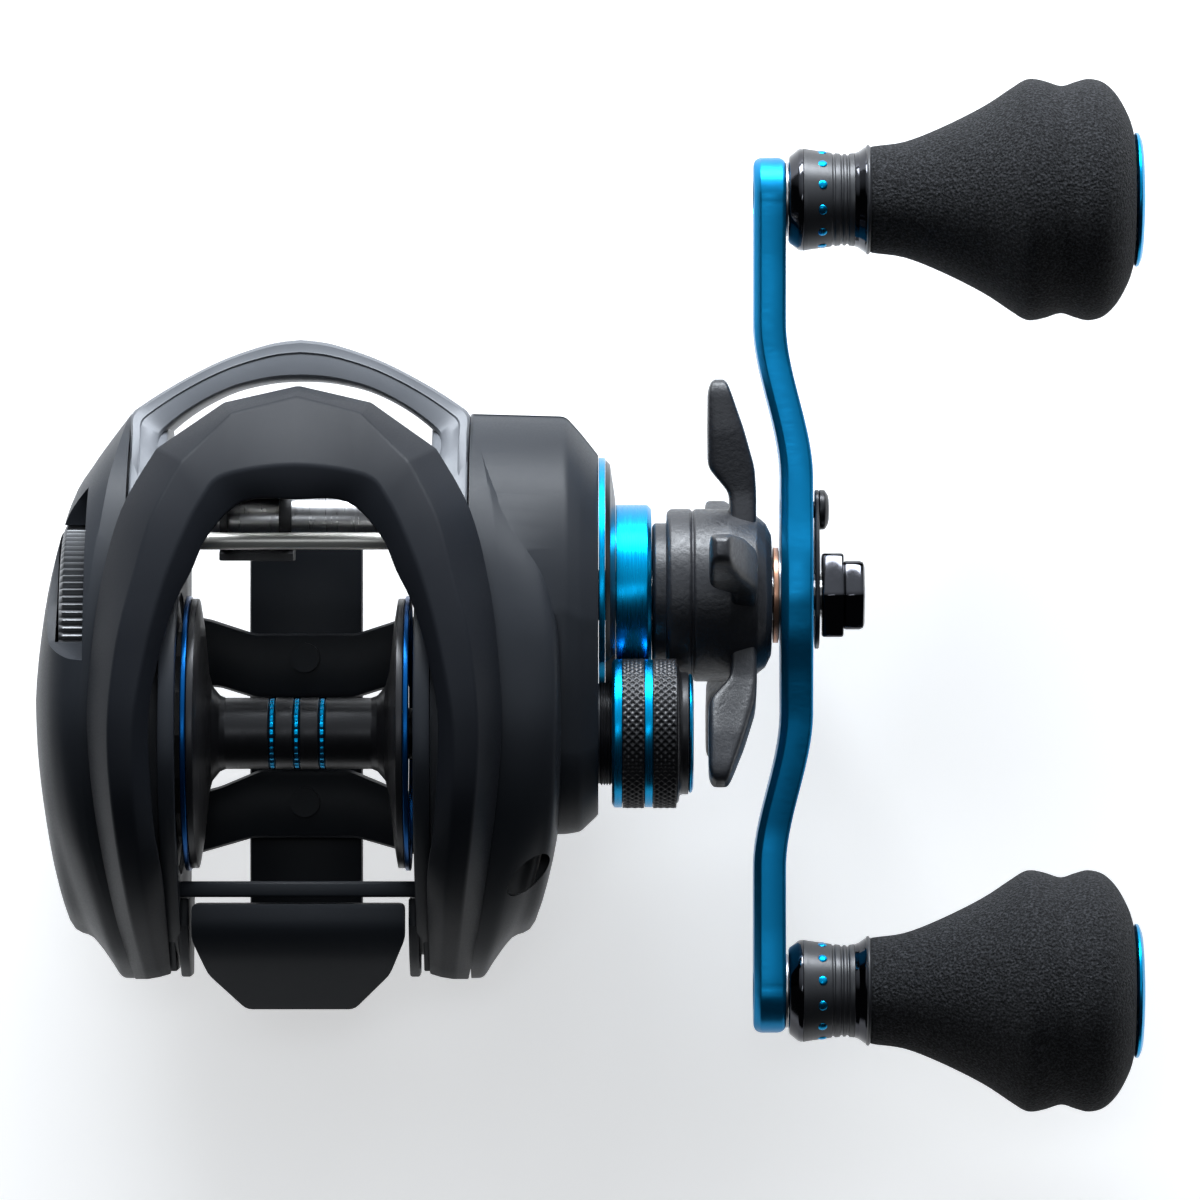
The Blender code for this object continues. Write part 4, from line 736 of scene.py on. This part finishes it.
def make_handle_cover():
    """The mirrored cover form joined with the gear housing and collar; its notch, screws and thread."""
    cover = loft("handle_cover", cover_rings(1))
    collar = turned("collar", [(30.0, 5.9), (38.4, 5.9)], SPOOL, soft=0.0, steps=48)
    combine(cover, 'UNION', loft("drum", drum_rings()), collar)
    hollow = loft("handle_hollow", cover_rings(1, COVER_WALL))
    opening = seam_opening(SEAM - 2.0, SEAM + 1.0)
    bore = turned("bore", [(30.0, 7.9), (35.9, 7.9)], DRIVE, soft=0.0, steps=64)
    shaft = turned("shaft", [(30.0, 4.9), (34.4, 4.9), (34.4, 2.0), (40.0, 2.0)], SPOOL, soft=0.0, steps=48)
    combine(cover, 'DIFFERENCE', hollow, loft("drum_hollow", drum_rings(COVER_WALL)), opening, bore, shaft)
    notch = []
    for u, v in circle(1.0, count=40):
        along, across = 3.3 * u, 1.35 * v
        notch.append((27.1 + (along - across) * sqrt(0.5), -18.5 + (along + across) * sqrt(0.5)))
    combine(cover, 'DIFFERENCE', slab("notch", [notch], 23.5, 45.0, 0.01, across='Z'))
    shade(cover, 26)
    stand(cover, "frame", "charcoal_paint", "handle_side_cover")
    for number in (1, 2):
        axis = middle_axis(f"cover_screw_{number}")
        profile = [(17.0, 1.0), (28.4, 1.0), (28.4, 1.7), (29.2, 1.6), (29.4, 1.2)]
        screw = turned(f"case_screw_{number}", profile, axis, soft=0.1, steps=32)
        stand(screw, "frame", "steel", f"cover_screw_{number}")
    threads = [(35.5, 5.9)]
    for k in range(4):
        threads += [(35.7 + 0.32 * k, 6.15), (35.86 + 0.32 * k, 5.9)]
    threads.append((37.0, 5.9))
    stand(turned("collar_thread", threads, SPOOL, 5.2, 0.04, 64), "frame", "black_anodised")


# ---------------- stack on the drive shaft

def make_cover_rings():
    """The coloured ring, black cone and coloured sleeve, each relieved for the tension knob."""
    ring, cone, sleeve = (span(node) for node in ("cover_ring", "cover_cone", "bearing_sleeve"))
    rings = [("ring_blue", [(ring[0] - 0.25, 16.4), (ring[1], 16.4)], 9.5, 0.12, 9.3,
              "blue_anodised", "cover_ring"),
             ("cone_black", [(cone[0] - 0.26, 16.2), (cone[0] + 0.3, 15.6), (cone[1] + 0.15, 11.2)], 8.2,
              0.1, 9.3, "black_anodised", "cover_cone"),
             ("sleeve_blue", [(sleeve[0] - 0.1, 10.8), (sleeve[1] - 0.3, 10.8), (sleeve[1] + 0.2, 10.3)], 5.0,
              0.12, 9.2, "blue_anodised", "bearing_sleeve")]
    for name, profile, bore, soft, room, finish, node in rings:
        relief = turned("relief", [(34.0, room), (44.0, room)], SPOOL, soft=0.0)
        piece = combine(turned(name, profile, DRIVE, bore, soft), 'DIFFERENCE', relief)
        stand(piece, "frame", finish, node)


STAR_ARMS = 5
STAR_FIRST = radians(5.7)
# Each section of an arm: distance from the shaft, inner x, outer x, half width.
STAR_ARM = [(8.0, 50.9, 54.1, 3.6), (10.6, 50.9, 54.1, 3.0), (12.4, 50.8, 54.1, 2.6),
            (15.4, 48.3, 53.9, 2.6), (20.0, 48.25, 52.6, 2.6), (24.3, 48.3, 51.1, 2.0),
            (25.4, 48.65, 50.65, 1.4), (25.75, 49.1, 50.2, 0.8)]
STAR_HUB = [(41.7, 8.2), (42.0, 8.6), (43.4, 8.6), (43.45, 9.9), (43.9, 10.3), (46.2, 10.3), (46.5, 9.95),
            (46.8, 10.3), (50.9, 10.3), (54.1, 9.5), (55.2, 8.6), (55.9, 7.2)]
SQUARENESS = 0.34                 # 1 gives an arm an oval section, 0 a rectangle


def make_star():
    """The star drag wheel: a grooved hub and five rounded arms that lean towards the reel."""
    hub = turned("star_wheel", STAR_HUB, DRIVE, 3.3, 0.2)
    sections = softened(STAR_ARM, 0.9, steps=4)
    for k in range(STAR_ARMS):
        angle = STAR_FIRST + k * 2 * pi / STAR_ARMS
        rings = []
        for reach, low, high, half in sections:
            ring = []
            for step in range(32):
                turn = 2 * pi * (step + 0.5) / 32
                u, v = (copysign(abs(wave) ** SQUARENESS, wave) for wave in (cos(turn), sin(turn)))
                x = (low + high) / 2 + (high - low) / 2 * u
                ring.append((x, DRIVE[0] + reach * cos(angle) - half * v * sin(angle),
                             DRIVE[1] + reach * sin(angle) + half * v * cos(angle)))
            rings.append(ring)
        combine(hub, 'UNION', loft(f"star_arm_{k}", rings))
    shade(hub, 30)
    stand(hub, "star", "cast_black", "star_drag")


ARM_IN, ARM_OUT, ARM_DROP = 57.0, 60.8, 3.2
ARM_STEP, ARM_STEP_LENGTH = 14.0, 18.5
ARM_END, ARM_END_R = 47.2, 5.0
ARM_TIP_R = 1.0                   # rounding of the end face
# Half the strap's width at each distance from the shaft.
ARM_REACH = [0.0, 5.0, 9.0, 14.0, 28.0, 40.0, 46.0]
ARM_HALF = [7.5, 7.1, 6.0, 5.3, 4.4, 4.6, 4.9]


def make_arm():
    """The crank strap: stepped towards the reel at both ends, with a waisted face."""
    tip = [ARM_END + ARM_END_R * sin(a) for a in np.linspace(-0.2, pi / 2 - 0.02, 14)]
    reaches = sorted({round(float(r), 3) for r in [*np.linspace(0.0, 46.0, 40), *tip]})
    reaches = [-r for r in reversed(reaches) if r > 0] + reaches
    rings = []
    for r in reaches:
        away = abs(r)
        ease = min(1.0, max(0.0, (away - ARM_STEP) / ARM_STEP_LENGTH))
        drop = ARM_DROP * ease * ease * (3 - 2 * ease)
        half = float(np.interp(away, ARM_REACH, ARM_HALF))
        if away > ARM_END:
            half = sqrt(max(ARM_END_R ** 2 - (away - ARM_END) ** 2, 0.01))
        wide, slim = min(0.9, half * 0.8), min(0.35, half * 0.5)
        section = softened([(ARM_IN, wide - half), (ARM_IN + 0.8, -half), (ARM_OUT - slim, -half),
                            (ARM_OUT, slim - half), (ARM_OUT, half - slim), (ARM_OUT - slim, half),
                            (ARM_IN + 0.8, half), (ARM_IN, half - wide)], 0.12, closed=True, steps=2)
        over = max(0.0, away - (ARM_END + ARM_END_R - ARM_TIP_R))
        thin = 1.0 - (ARM_TIP_R - sqrt(max(ARM_TIP_R ** 2 - over ** 2, 0.0))) / ((ARM_OUT - ARM_IN) / 2)
        middle = (ARM_IN + ARM_OUT) / 2
        rings.append([(middle + (x - middle) * thin - drop, DRIVE[0] + r, DRIVE[1] + w) for x, w in section])
    arm = loft("crank_strap", rings)
    holes = [(2.8, DRIVE, 40)] + [(2.3, axis, 40) for axis in KNOB.values()] + [(1.3, RETAINER, 24)]
    combine(arm, 'DIFFERENCE', *(turned("hole", [(50.0, radius), (66.0, radius)], axis, soft=0.0, steps=steps)
                                 for radius, axis, steps in holes))
    rounded(arm, 0.12, 2, 50)
    stand(arm, "handle", "blue_strap", "handle_arm")


RETAINER = (DRIVE[0] + 10.2, DRIVE[1])


def make_fastening():
    """Spring washer, retainer plate, its screw and the capped nut."""
    low, high = span("handle_washer")
    stand(turned("washer_copper", [(low - 0.05, 5.7), (high + 0.05, 5.7)], DRIVE, 3.3, 0.12),
          "handle", "copper", "handle_washer")
    stand(turned("washer_steel", [(high + 0.07, 5.3), (high + 0.28, 5.3)], DRIVE, 3.3, 0.05),
          "handle", "steel")
    low, high = span("retainer_plate")
    side = [(12.7, 0.0), (12.2, 1.9), (10.2, 2.7), (6.4, 4.6), (3.2, 5.7), (-3.2, 5.7), (-5.7, 3.4),
            (-6.5, 0.0)]
    side += [(along, -across) for along, across in side[-2:0:-1]]
    plate = slab("retainer", [softened(side, 0.9, True), circle(2.8, count=40), circle(1.3, (10.2, 0.0), 24)],
                 low, high, 0.12, axis=DRIVE)
    stand(plate, "handle", "black_anodised", "retainer_plate")
    low, high = span("retainer_screw")
    profile = [(low, 1.0), (high - 1.15, 1.0), (high - 1.15, 2.4), (high - 0.5, 2.35), (high - 0.1, 1.7),
               (high, 1.1)]
    screw = turned("retainer_bolt", profile, RETAINER, soft=0.15, steps=48)
    socket = slab("socket", [hexagon(1.0, RETAINER)], high - 0.7, high + 1.0, 0.01)
    stand(combine(screw, 'DIFFERENCE', socket), "handle", "black_anodised", "retainer_screw")
    low, high = span("handle_nut")
    step = low + 2.6
    nut = slab("nut_capped", [softened(hexagon(5.0, DRIVE), 0.5, True)], low, step, 0.3)
    cap = slab("nut_crown", [softened(hexagon(4.1, DRIVE), 0.7, True)], step - 0.3, high, 0.6)
    stud = turned("stud_hole", [(low - 1.0, 2.8), (low + 3.3, 2.8)], DRIVE, soft=0.0, steps=40)
    combine(nut, 'UNION', cap)
    stand(combine(nut, 'DIFFERENCE', stud), "handle", "black_chrome", "handle_nut")


# ---------------- knobs

GRIP = [(67.7, 5.9), (68.0, 6.35), (71.8, 6.9), (76.2, 8.6), (81.1, 11.05), (84.4, 13.2), (86.0, 14.2),
        (87.1, 14.4), (88.6, 14.1), (90.5, 13.55), (92.2, 14.05), (93.8, 14.4), (95.6, 13.9), (97.2, 12.3),
        (98.5, 9.9), (99.0, 8.3)]
NECK = [(59.7, 6.1), (60.4, 5.98), (63.1, 5.6), (63.2, 5.42), (63.4, 5.42), (63.5, 5.56), (64.1, 5.5),
        (64.2, 5.3), (64.4, 5.3), (64.5, 5.48), (64.8, 5.48), (64.9, 5.3), (65.1, 5.3), (65.2, 5.5),
        (65.8, 5.58)]
NECK_NOSE = [(57.95, 4.9), (58.1, 5.2), (59.1, 6.0), (59.45, 6.12), (59.69, 6.1)]
NECK_FLARE = [(65.81, 5.58), (66.3, 5.75), (67.0, 6.25), (67.4, 6.4)]
NECK_RIM = [(67.17, 6.3), (67.35, 6.55), (67.55, 6.55), (67.73, 6.3)]
KNOB_PIN = [(54.0, 2.9), (54.3, 3.1), (54.6, 3.1), (54.6, 2.0), (57.63, 2.0), (57.63, 4.4), (57.88, 4.4),
            (57.88, 2.0), (94.0, 2.0)]
KNOB_CAP = [(98.5, 3.0), (99.2, 3.0), (99.2, 7.6), (99.35, 8.0), (99.7, 8.0), (100.05, 7.2), (100.1, 6.6),
            (99.95, 6.3), (100.1, 6.0), (100.35, 3.4), (100.4, 1.5)]
SLEEVE_R = 4.6                    # the neck's tube inside the grip
GRIP_GAP = 0.3                    # room between that tube and the foam
PIN_BORE_R = 2.3
DOTS = 12
DOT_X, DOT_REACH = 61.9, 5.7
DOT_SIZE = (0.6, 0.22, 0.6)


def make_knob(name):
    """One knob: black neck with coloured dots and grooves, foam grip, coloured end cap."""
    axis = KNOB[name]
    body = f"knob_{name}"
    tube = [(65.8, SLEEVE_R), (98.2, SLEEVE_R)]
    parts = [("neck_turned", NECK + tube, PIN_BORE_R, 0.06, body, "neck_black", ["knob_neck"]),
             ("nose", NECK_NOSE, PIN_BORE_R, 0.1, body, "black_chrome", []),
             ("flare", NECK_FLARE, SLEEVE_R, 0.06, body, "black_chrome", []),
             ("pin", KNOB_PIN, (), 0.05, "handle", "steel", ["knob_post"]),
             ("rim", NECK_RIM, 5.65, 0.08, body, "neck_black", [])]
    for part, profile, bore, soft, rides, finish, nodes in parts:
        piece = turned(f"knob_{part}_{name}", profile, axis, bore, soft)
        stand(piece, rides, finish, *(f"{node}_{name}" for node in nodes))
    for k in range(DOTS):
        angle = 2 * pi * (k + 0.5) / DOTS
        at = Vector((DOT_X, axis[0] + DOT_REACH * cos(angle), axis[1] + DOT_REACH * sin(angle))) * MM
        place = Matrix.Translation(at) @ Matrix.Rotation(angle, 4, 'X')
        size = Matrix.Diagonal((*(half * MM for half in DOT_SIZE), 1.0))
        bm = bmesh.new()
        bmesh.ops.create_uvsphere(bm, u_segments=16, v_segments=10, radius=1.0, matrix=place @ size)
        stand(shade(finished(bm, f"knob_dot_{name}_{k}")), body, "blue_anodised")
    grip = turned(f"knob_grip_foam_{name}", curve_through(GRIP, 4), axis, SLEEVE_R + GRIP_GAP, 0.05, 128)
    stand(grip, body, "foam", f"knob_grip_{name}")
    cap = turned(f"knob_cap_domed_{name}", KNOB_CAP, axis, soft=0.12)
    stand(cap, body, "blue_anodised", f"knob_cap_{name}")


# ---------------- tension knob

KNURL_LINES = 58
KNURL_ANGLE = 60                  # degrees below which the ridges' faces shade as one
TENSION_CORE = [(36.9, 8.3), (37.2, 8.75), (38.1, 8.75), (38.1, 8.2), (40.75, 8.2), (40.75, 8.72),
                (41.7, 8.72), (41.7, 8.2), (44.5, 8.2)]
TENSION_CAP = [(45.95, 6.9), (46.15, 7.05), (46.35, 6.9), (46.5, 6.3), (46.35, 5.6), (46.3, 2.0)]


def knurled(name, x0, x1, radius, bore, axis):
    """A sleeve with two crossing sets of raised lines."""
    slope = KNURL_LINES / (2 * pi * radius)

    def relief(x, r, angle):
        if r < radius - 0.3:
            return r
        edge = min(1.0, max(0.0, min(x - x0, x1 - x) / 0.25))
        ahead = angle * KNURL_LINES / (2 * pi) + x * slope
        behind = angle * KNURL_LINES / (2 * pi) - x * slope
        lines = max(1 - 2 * abs(t - round(t)) * 1.6 for t in (ahead, behind))
        return r - 0.26 * (1.0 - max(lines, 0.0)) * edge - 0.05 * (1 - edge)
    rows = max(int((x1 - x0) / 0.13), 8)
    outer = [(x0 + (x1 - x0) * k / rows, radius) for k in range(rows + 1)]
    return shade(turned(name, outer, axis, bore, 0.0, KNURL_LINES * 6, relief), KNURL_ANGLE)


def make_tension_knob():
    """Coloured core seen in two bands, two knurled sleeves and the capped end."""
    bore = [(36.9, 6.3), (39.2, 6.3), (39.2, 2.5), (44.5, 2.5)]
    core = turned("tension_core", TENSION_CORE, SPOOL, bore, 0.1)
    stand(core, "tension", "blue_anodised", "tension_knob")
    for number, (low, high) in enumerate(((38.15, 40.7), (41.75, 44.5))):
        sleeve = knurled(f"tension_knurl_{number + 1}", low, high, 8.85, 8.25, SPOOL)
        stand(sleeve, "tension", "black_anodised")
    face = turned("tension_face", [(44.55, 8.3), (44.75, 8.1), (44.9, 7.3), (45.2, 7.2), (45.9, 7.2)], SPOOL,
                  2.5, 0.08)
    stand(face, "tension", "black_anodised")
    cap = turned("tension_cap_turned", TENSION_CAP, SPOOL, soft=0.1)
    stand(cap, "tension", "blue_anodised", "tension_cap")


# ---------------- spool

ARBOR_R, FLANGE_R, SPOOL_RIM_R = 4.2, 15.9, 16.2
GROOVES = (-3.1, -0.2, 2.8)


def make_spool():
    """Black spool with three coloured beaded grooves and coloured rims."""
    outer = [(-13.6, 3.0), (-12.9, 3.0), (-12.55, 3.4), (-12.55, FLANGE_R), (-11.75, FLANGE_R), (-11.3, 13.2),
             (-10.7, 7.4), (-10.2, 5.6), (-9.3, 4.5), (-8.6, ARBOR_R)]
    for x in GROOVES:
        outer += [(x - 0.42, ARBOR_R), (x - 0.34, 3.85), (x + 0.34, 3.85), (x + 0.42, ARBOR_R)]
    outer += [(-x, r) for x, r in reversed(outer[:10])]
    spool = turned("spool_turned", outer, SPOOL, 1.5, 0.12, 128)
    stand(spool, "spool", "black_anodised", "spool")

    def beads(x, radius, angle):
        return radius + (0.16 * abs(cos(12 * angle)) if radius > 3.87 else 0.0)
    for number, x in enumerate(GROOVES):
        profile = [(x - 0.33, 3.8), (x - 0.2, 3.95), (x + 0.2, 3.95), (x + 0.33, 3.8)]
        ring = turned(f"spool_beads_{number + 1}", profile, SPOOL, 3.7, 0.05, 144, beads)
        stand(ring, "spool", "blue_anodised")
    for side, sign in SIDES.items():
        low, high = sorted((sign * 12.6, sign * 13.25))
        profile = [(low, 16.1), (low + 0.1, SPOOL_RIM_R), (high - 0.1, SPOOL_RIM_R), (high, 16.1)]
        # The rims' darker blue is painted shade.
        rim = turned(f"spool_rim_turned_{side}", profile, SPOOL, 15.0, 0.06, 128)
        stand(rim, "spool", "rim_blue", f"spool_rim_{side}")


# ---------------- level wind

WORM_R, WORM_PITCH = 2.0, 5.0
TUBE_R, TUBE_BORE_R = 2.8, 2.3
GUIDE_BORE_R = 3.25
EYE_R, EYE_THROAT_R = 3.0, 1.7


def make_worm():
    """Worm with crossing grooves, its slotted tube and the bright guard bar."""
    def crossed(x, radius, angle):
        if radius < 1.9 or abs(x) > 12.6:
            return radius
        grooves = (cos(angle + sign * 2 * pi * x / WORM_PITCH) for sign in (-1, 1))
        return radius - 0.5 * max(0.0, max(grooves) - 0.6) / 0.4
    low, high = span("worm_shaft")
    outer = [(low, 1.2), (-13.4, 1.2), (-13.4, WORM_R)] + [(x, WORM_R) for x in np.linspace(-12.8, 12.8, 104)]
    outer += [(13.4, WORM_R), (13.4, 1.2), (high, 1.2)]
    worm = turned("worm_cut", outer, WORM, soft=0.02, steps=48, shape=crossed)
    stand(worm, "worm", "steel", "worm_shaft")

    low, high = span("worm_tube")
    y, z = WORM
    tube = turned("worm_sleeve", [(low, TUBE_R), (high, TUBE_R)], WORM, TUBE_BORE_R, 0.1, 64)
    slot = slab("slot", [[(y - 1.6, z - 5.0), (y + 1.6, z - 5.0), (y + 1.6, z), (y - 1.6, z)]],
                low + 0.7, high - 0.7, 0.01)
    stand(combine(tube, 'DIFFERENCE', slot), "frame", "steel", "worm_tube")

    low, high = span("guard_bar")
    stand(turned("guard_rod", [(low, 1.0), (high, 1.0)], middle_axis("guard_bar"), soft=0.3), "frame",
          "chrome", "guard_bar")


def make_line_guide():
    """The sliding guide: a carriage under the tube, two saddles over it and a plate with the eye."""
    y, z = WORM
    low, high = span("line_guide")
    middle = (low + high) / 2
    turns = np.linspace(-0.12, 0.12 - pi, 24)
    trough = [(y + GUIDE_BORE_R * cos(a), z + GUIDE_BORE_R * sin(a)) for a in turns]
    carriage = [(y - 5.0, z + 2.4), (y - 5.0, z - 3.9), (y - 4.5, z - 4.4), (y + 3.4, z - 4.4),
                (y + 3.9, z - 3.9), (y + 3.9, z - 0.4)] + trough + [(y - 3.9, z + 1.9), (y - 4.2, z + 2.4)]
    arch = [(y + 3.9 * cos(a), z + 3.9 * sin(a)) for a in np.linspace(pi, 0.0, 24)]
    saddle = [(y - 3.9, z - 3.8)] + arch + [(y + 3.9, z - 3.8)]
    body = slab("guide_carriage", [carriage], low, high, 0.15)
    for start, end in ((low + 0.1, low + 1.1), (high - 1.7, high - 0.2)):
        combine(body, 'UNION', slab("saddle", [saddle, circle(GUIDE_BORE_R, WORM, 48)], start, end, 0.2))
    eye_y, eye_z = middle_axis("line_eye")
    eye_low, eye_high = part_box("line_eye")
    deep = (eye_high.y - eye_low.y) / 2 / MM
    outline = [(middle - 4.2, z - 1.0), (middle + 4.2, z - 1.0), (middle + 4.2, eye_z + 1.5),
               (middle + 2.4, eye_z + 4.0), (middle - 2.4, eye_z + 4.0), (middle - 4.2, eye_z + 1.5)]
    front = slab("eye_plate", [softened(outline, 1.2, True, 4), circle(GUIDE_BORE_R, (middle, eye_z), 48)],
                 -1.1, 1.1, 0.3, across='Z')
    front.data.transform(Matrix.Translation((0.0, (y + 4.9) * MM, 0.0)) @ Matrix.Rotation(pi / 2, 4, 'X'))
    arm = slab("eye_arm", [[(y + 3.0, z - 4.0), (y + 5.8, z - 4.0), (y + 5.8, z + 0.4), (y + 3.0, z + 0.4)]],
               middle - 3.0, middle + 3.0, 0.2)
    for part in (arm, front):
        combine(body, 'UNION', part)
    stand(body, "guide", "black_plastic", "line_guide")

    eye = turned("eye_ring", [(-deep, 2.6), (-0.5, EYE_R), (0.5, EYE_R), (deep, 2.6)], (0.0, 0.0),
                 [(-deep, 2.1), (0.0, EYE_THROAT_R), (deep, 2.1)], 0.3, 64)
    place = Matrix.Translation(Vector((middle, eye_y, eye_z)) * MM)
    eye.data.transform(place @ Matrix.Rotation(pi / 2, 4, 'Z'))
    stand(eye, "guide", "chrome", "line_eye")


# ---------------- thumb bar

def make_thumb_bar():
    """The clutch bar: a wide pad that falls away to the rear."""
    half = [(0.0, -22.0), (12.5, -22.0), (12.5, -26.2), (10.7, -30.5), (6.4, -34.8), (0.0, -34.8)]
    plan = softened(mirrored(half), 0.7, closed=True)
    pad = slab("thumb_pad", [plan], 12.0, 34.0, 0.01, across='Z')
    top = [(-21.0, 28.4), (-24.5, 28.8), (-27.6, 27.4), (-31.0, 24.2), (-36.0, 19.2)]
    under = [(-36.0, 17.4), (-31.0, 20.8), (-28.0, 22.9), (-25.0, 23.8), (-21.0, 23.8)]
    side = curve_through(top, 6) + curve_through(under, 4)
    combine(pad, 'INTERSECT', slab("pad_side", [side], -15.0, 15.0, 0.01))
    rounded(pad, 0.45, 3, 35)
    stand(pad, "thumb", "charcoal_paint", "thumb_bar")


# ---------------- setting

VIEW_X, VIEW_Y = 35.5, 13.73      # the point straight under the camera
VIEW_Z, VIEW_HEIGHT = 22.0, 900.0
VIEW_WIDTH = 142.0                # how much the picture spans at VIEW_Z
SENSOR = 36.0


def make_setting():
    """Floor that glows as painted light, soft lights from the front and above, and the camera straight overhead.
    """
    nodes = Nodes(bpy.data.materials.new("studio_floor"))
    drift = nodes.noise((8, 8, 8))
    tone = nodes.ramp(drift, "Fac", (0.90, 0.90, 0.90), (0.93, 0.93, 0.93))
    nodes.join(tone, "Color", nodes.shader, "Base Color")
    nodes.join(tone, "Color", nodes.shader, "Emission Color")
    # The floor glows, strongest close to the reel and fading further out: painted light that whitens the reel's
    # shadows on the floor.
    where = nodes.add("ShaderNodeTexCoord")
    away = nodes.add("ShaderNodeVectorMath", operation='LENGTH')
    nodes.join(where, "Object", away, "Vector")
    glow = nodes.add("ShaderNodeMapRange", interpolation_type='SMOOTHSTEP',
                     **{"From Min": 0.14, "From Max": 0.50, "To Min": 0.56, "To Max": 0.16})
    nodes.join(away, "Value", glow, "Value")
    nodes.join(glow, "Result", nodes.shader, "Emission Strength")
    nodes.shader.inputs["Roughness"].default_value = 0.9
    bm = bmesh.new()
    bmesh.ops.create_grid(bm, x_segments=8, y_segments=8, size=3.0)
    bmesh.ops.translate(bm, verts=bm.verts, vec=(0.0, 0.0, CAD_LOW.z - 0.0005))
    floor = finished(bm, "floor")
    floor.data.materials.append(nodes.owner)

    lamps = (("key", (0.03, 0.60, 0.16), 0.62, 0.20, 10.5), ("top", (0.00, 0.10, 0.85), 0.30, 0.10, 0.4))
    aim = Vector((VIEW_X, VIEW_Y, VIEW_Z)) * MM
    for name, place, width, depth, power in lamps:
        light = bpy.data.lights.new(name, 'AREA')
        light.shape = 'RECTANGLE'
        light.size = width
        light.size_y = depth
        light.energy = power
        light.color = (0.90, 0.95, 1.0)
        lamp = bpy.data.objects.new(name, light)
        lamp.location = place
        lamp.rotation_euler = (aim - Vector(place)).to_track_quat('-Z', 'Y').to_euler()
        bpy.context.scene.collection.objects.link(lamp)

    # The world lights the reel from the front and looks evenly pale to the camera.
    world = Nodes(bpy.data.worlds.new("studio"), "Background")
    where = world.add("ShaderNodeTexCoord")
    facing = world.add("ShaderNodeVectorMath", operation='DOT_PRODUCT')
    facing.inputs[1].default_value = (0.0, 0.92, 0.39)
    world.join(where, "Generated", facing, 0)
    ramp = world.ramp(facing, "Value", (0.012, 0.013, 0.015), (0.88, 0.94, 1.0), 0.36, 0.95)
    world.join(ramp, "Color", world.shader, "Color")
    world.shader.inputs["Strength"].default_value = 1.0
    seen = world.add("ShaderNodeLightPath")
    pale = world.add("ShaderNodeBackground", Color=(0.92, 0.92, 0.93, 1.0))
    mix = world.add("ShaderNodeMixShader")
    world.join(seen, "Is Camera Ray", mix, "Fac")
    world.join(world.shader, "Background", mix, 1)
    world.join(pale, "Background", mix, 2)
    world.join(mix, "Shader", world.tree.nodes["World Output"], "Surface")
    bpy.context.scene.world = world.owner
    bpy.context.scene.view_settings.view_transform = 'Standard'

    camera = bpy.data.cameras.new("camera")
    camera.sensor_width = SENSOR
    camera.lens = SENSOR * VIEW_HEIGHT / VIEW_WIDTH
    camera.clip_end = 10.0
    eye = bpy.data.objects.new("camera", camera)
    eye.location = Vector((VIEW_X, VIEW_Y, VIEW_Z + VIEW_HEIGHT)) * MM
    bpy.context.scene.collection.objects.link(eye)
    bpy.context.scene.camera = eye


# Small parts that are blackened rather than bright.
QUIET = {"foot_screw_1": "charcoal_paint", "foot_screw_2": "charcoal_paint", "magnet_ring": "black_plastic"}


def finish_cad_nodes():
    """Every CAD node gets the finish of its slot, apart from the blackened ones."""
    slots = {part["node"]: part["material_slot"] for part in frame["record"]["subparts"]}
    for name, node in frame["nodes"].items():
        finish = QUIET.get(name, slots[name])
        for entry in node.material_slots:
            entry.material = FINISH[finish]


make_setting()
finish_cad_nodes()
make_walls()
make_nose()
make_bars()
make_hood()
make_palm_cover()
make_dial()
make_handle_cover()
make_cover_rings()
make_star()
make_arm()
make_fastening()
for knob in KNOB:
    make_knob(knob)
make_tension_knob()
make_spool()
make_worm()
make_line_guide()
make_thumb_bar()
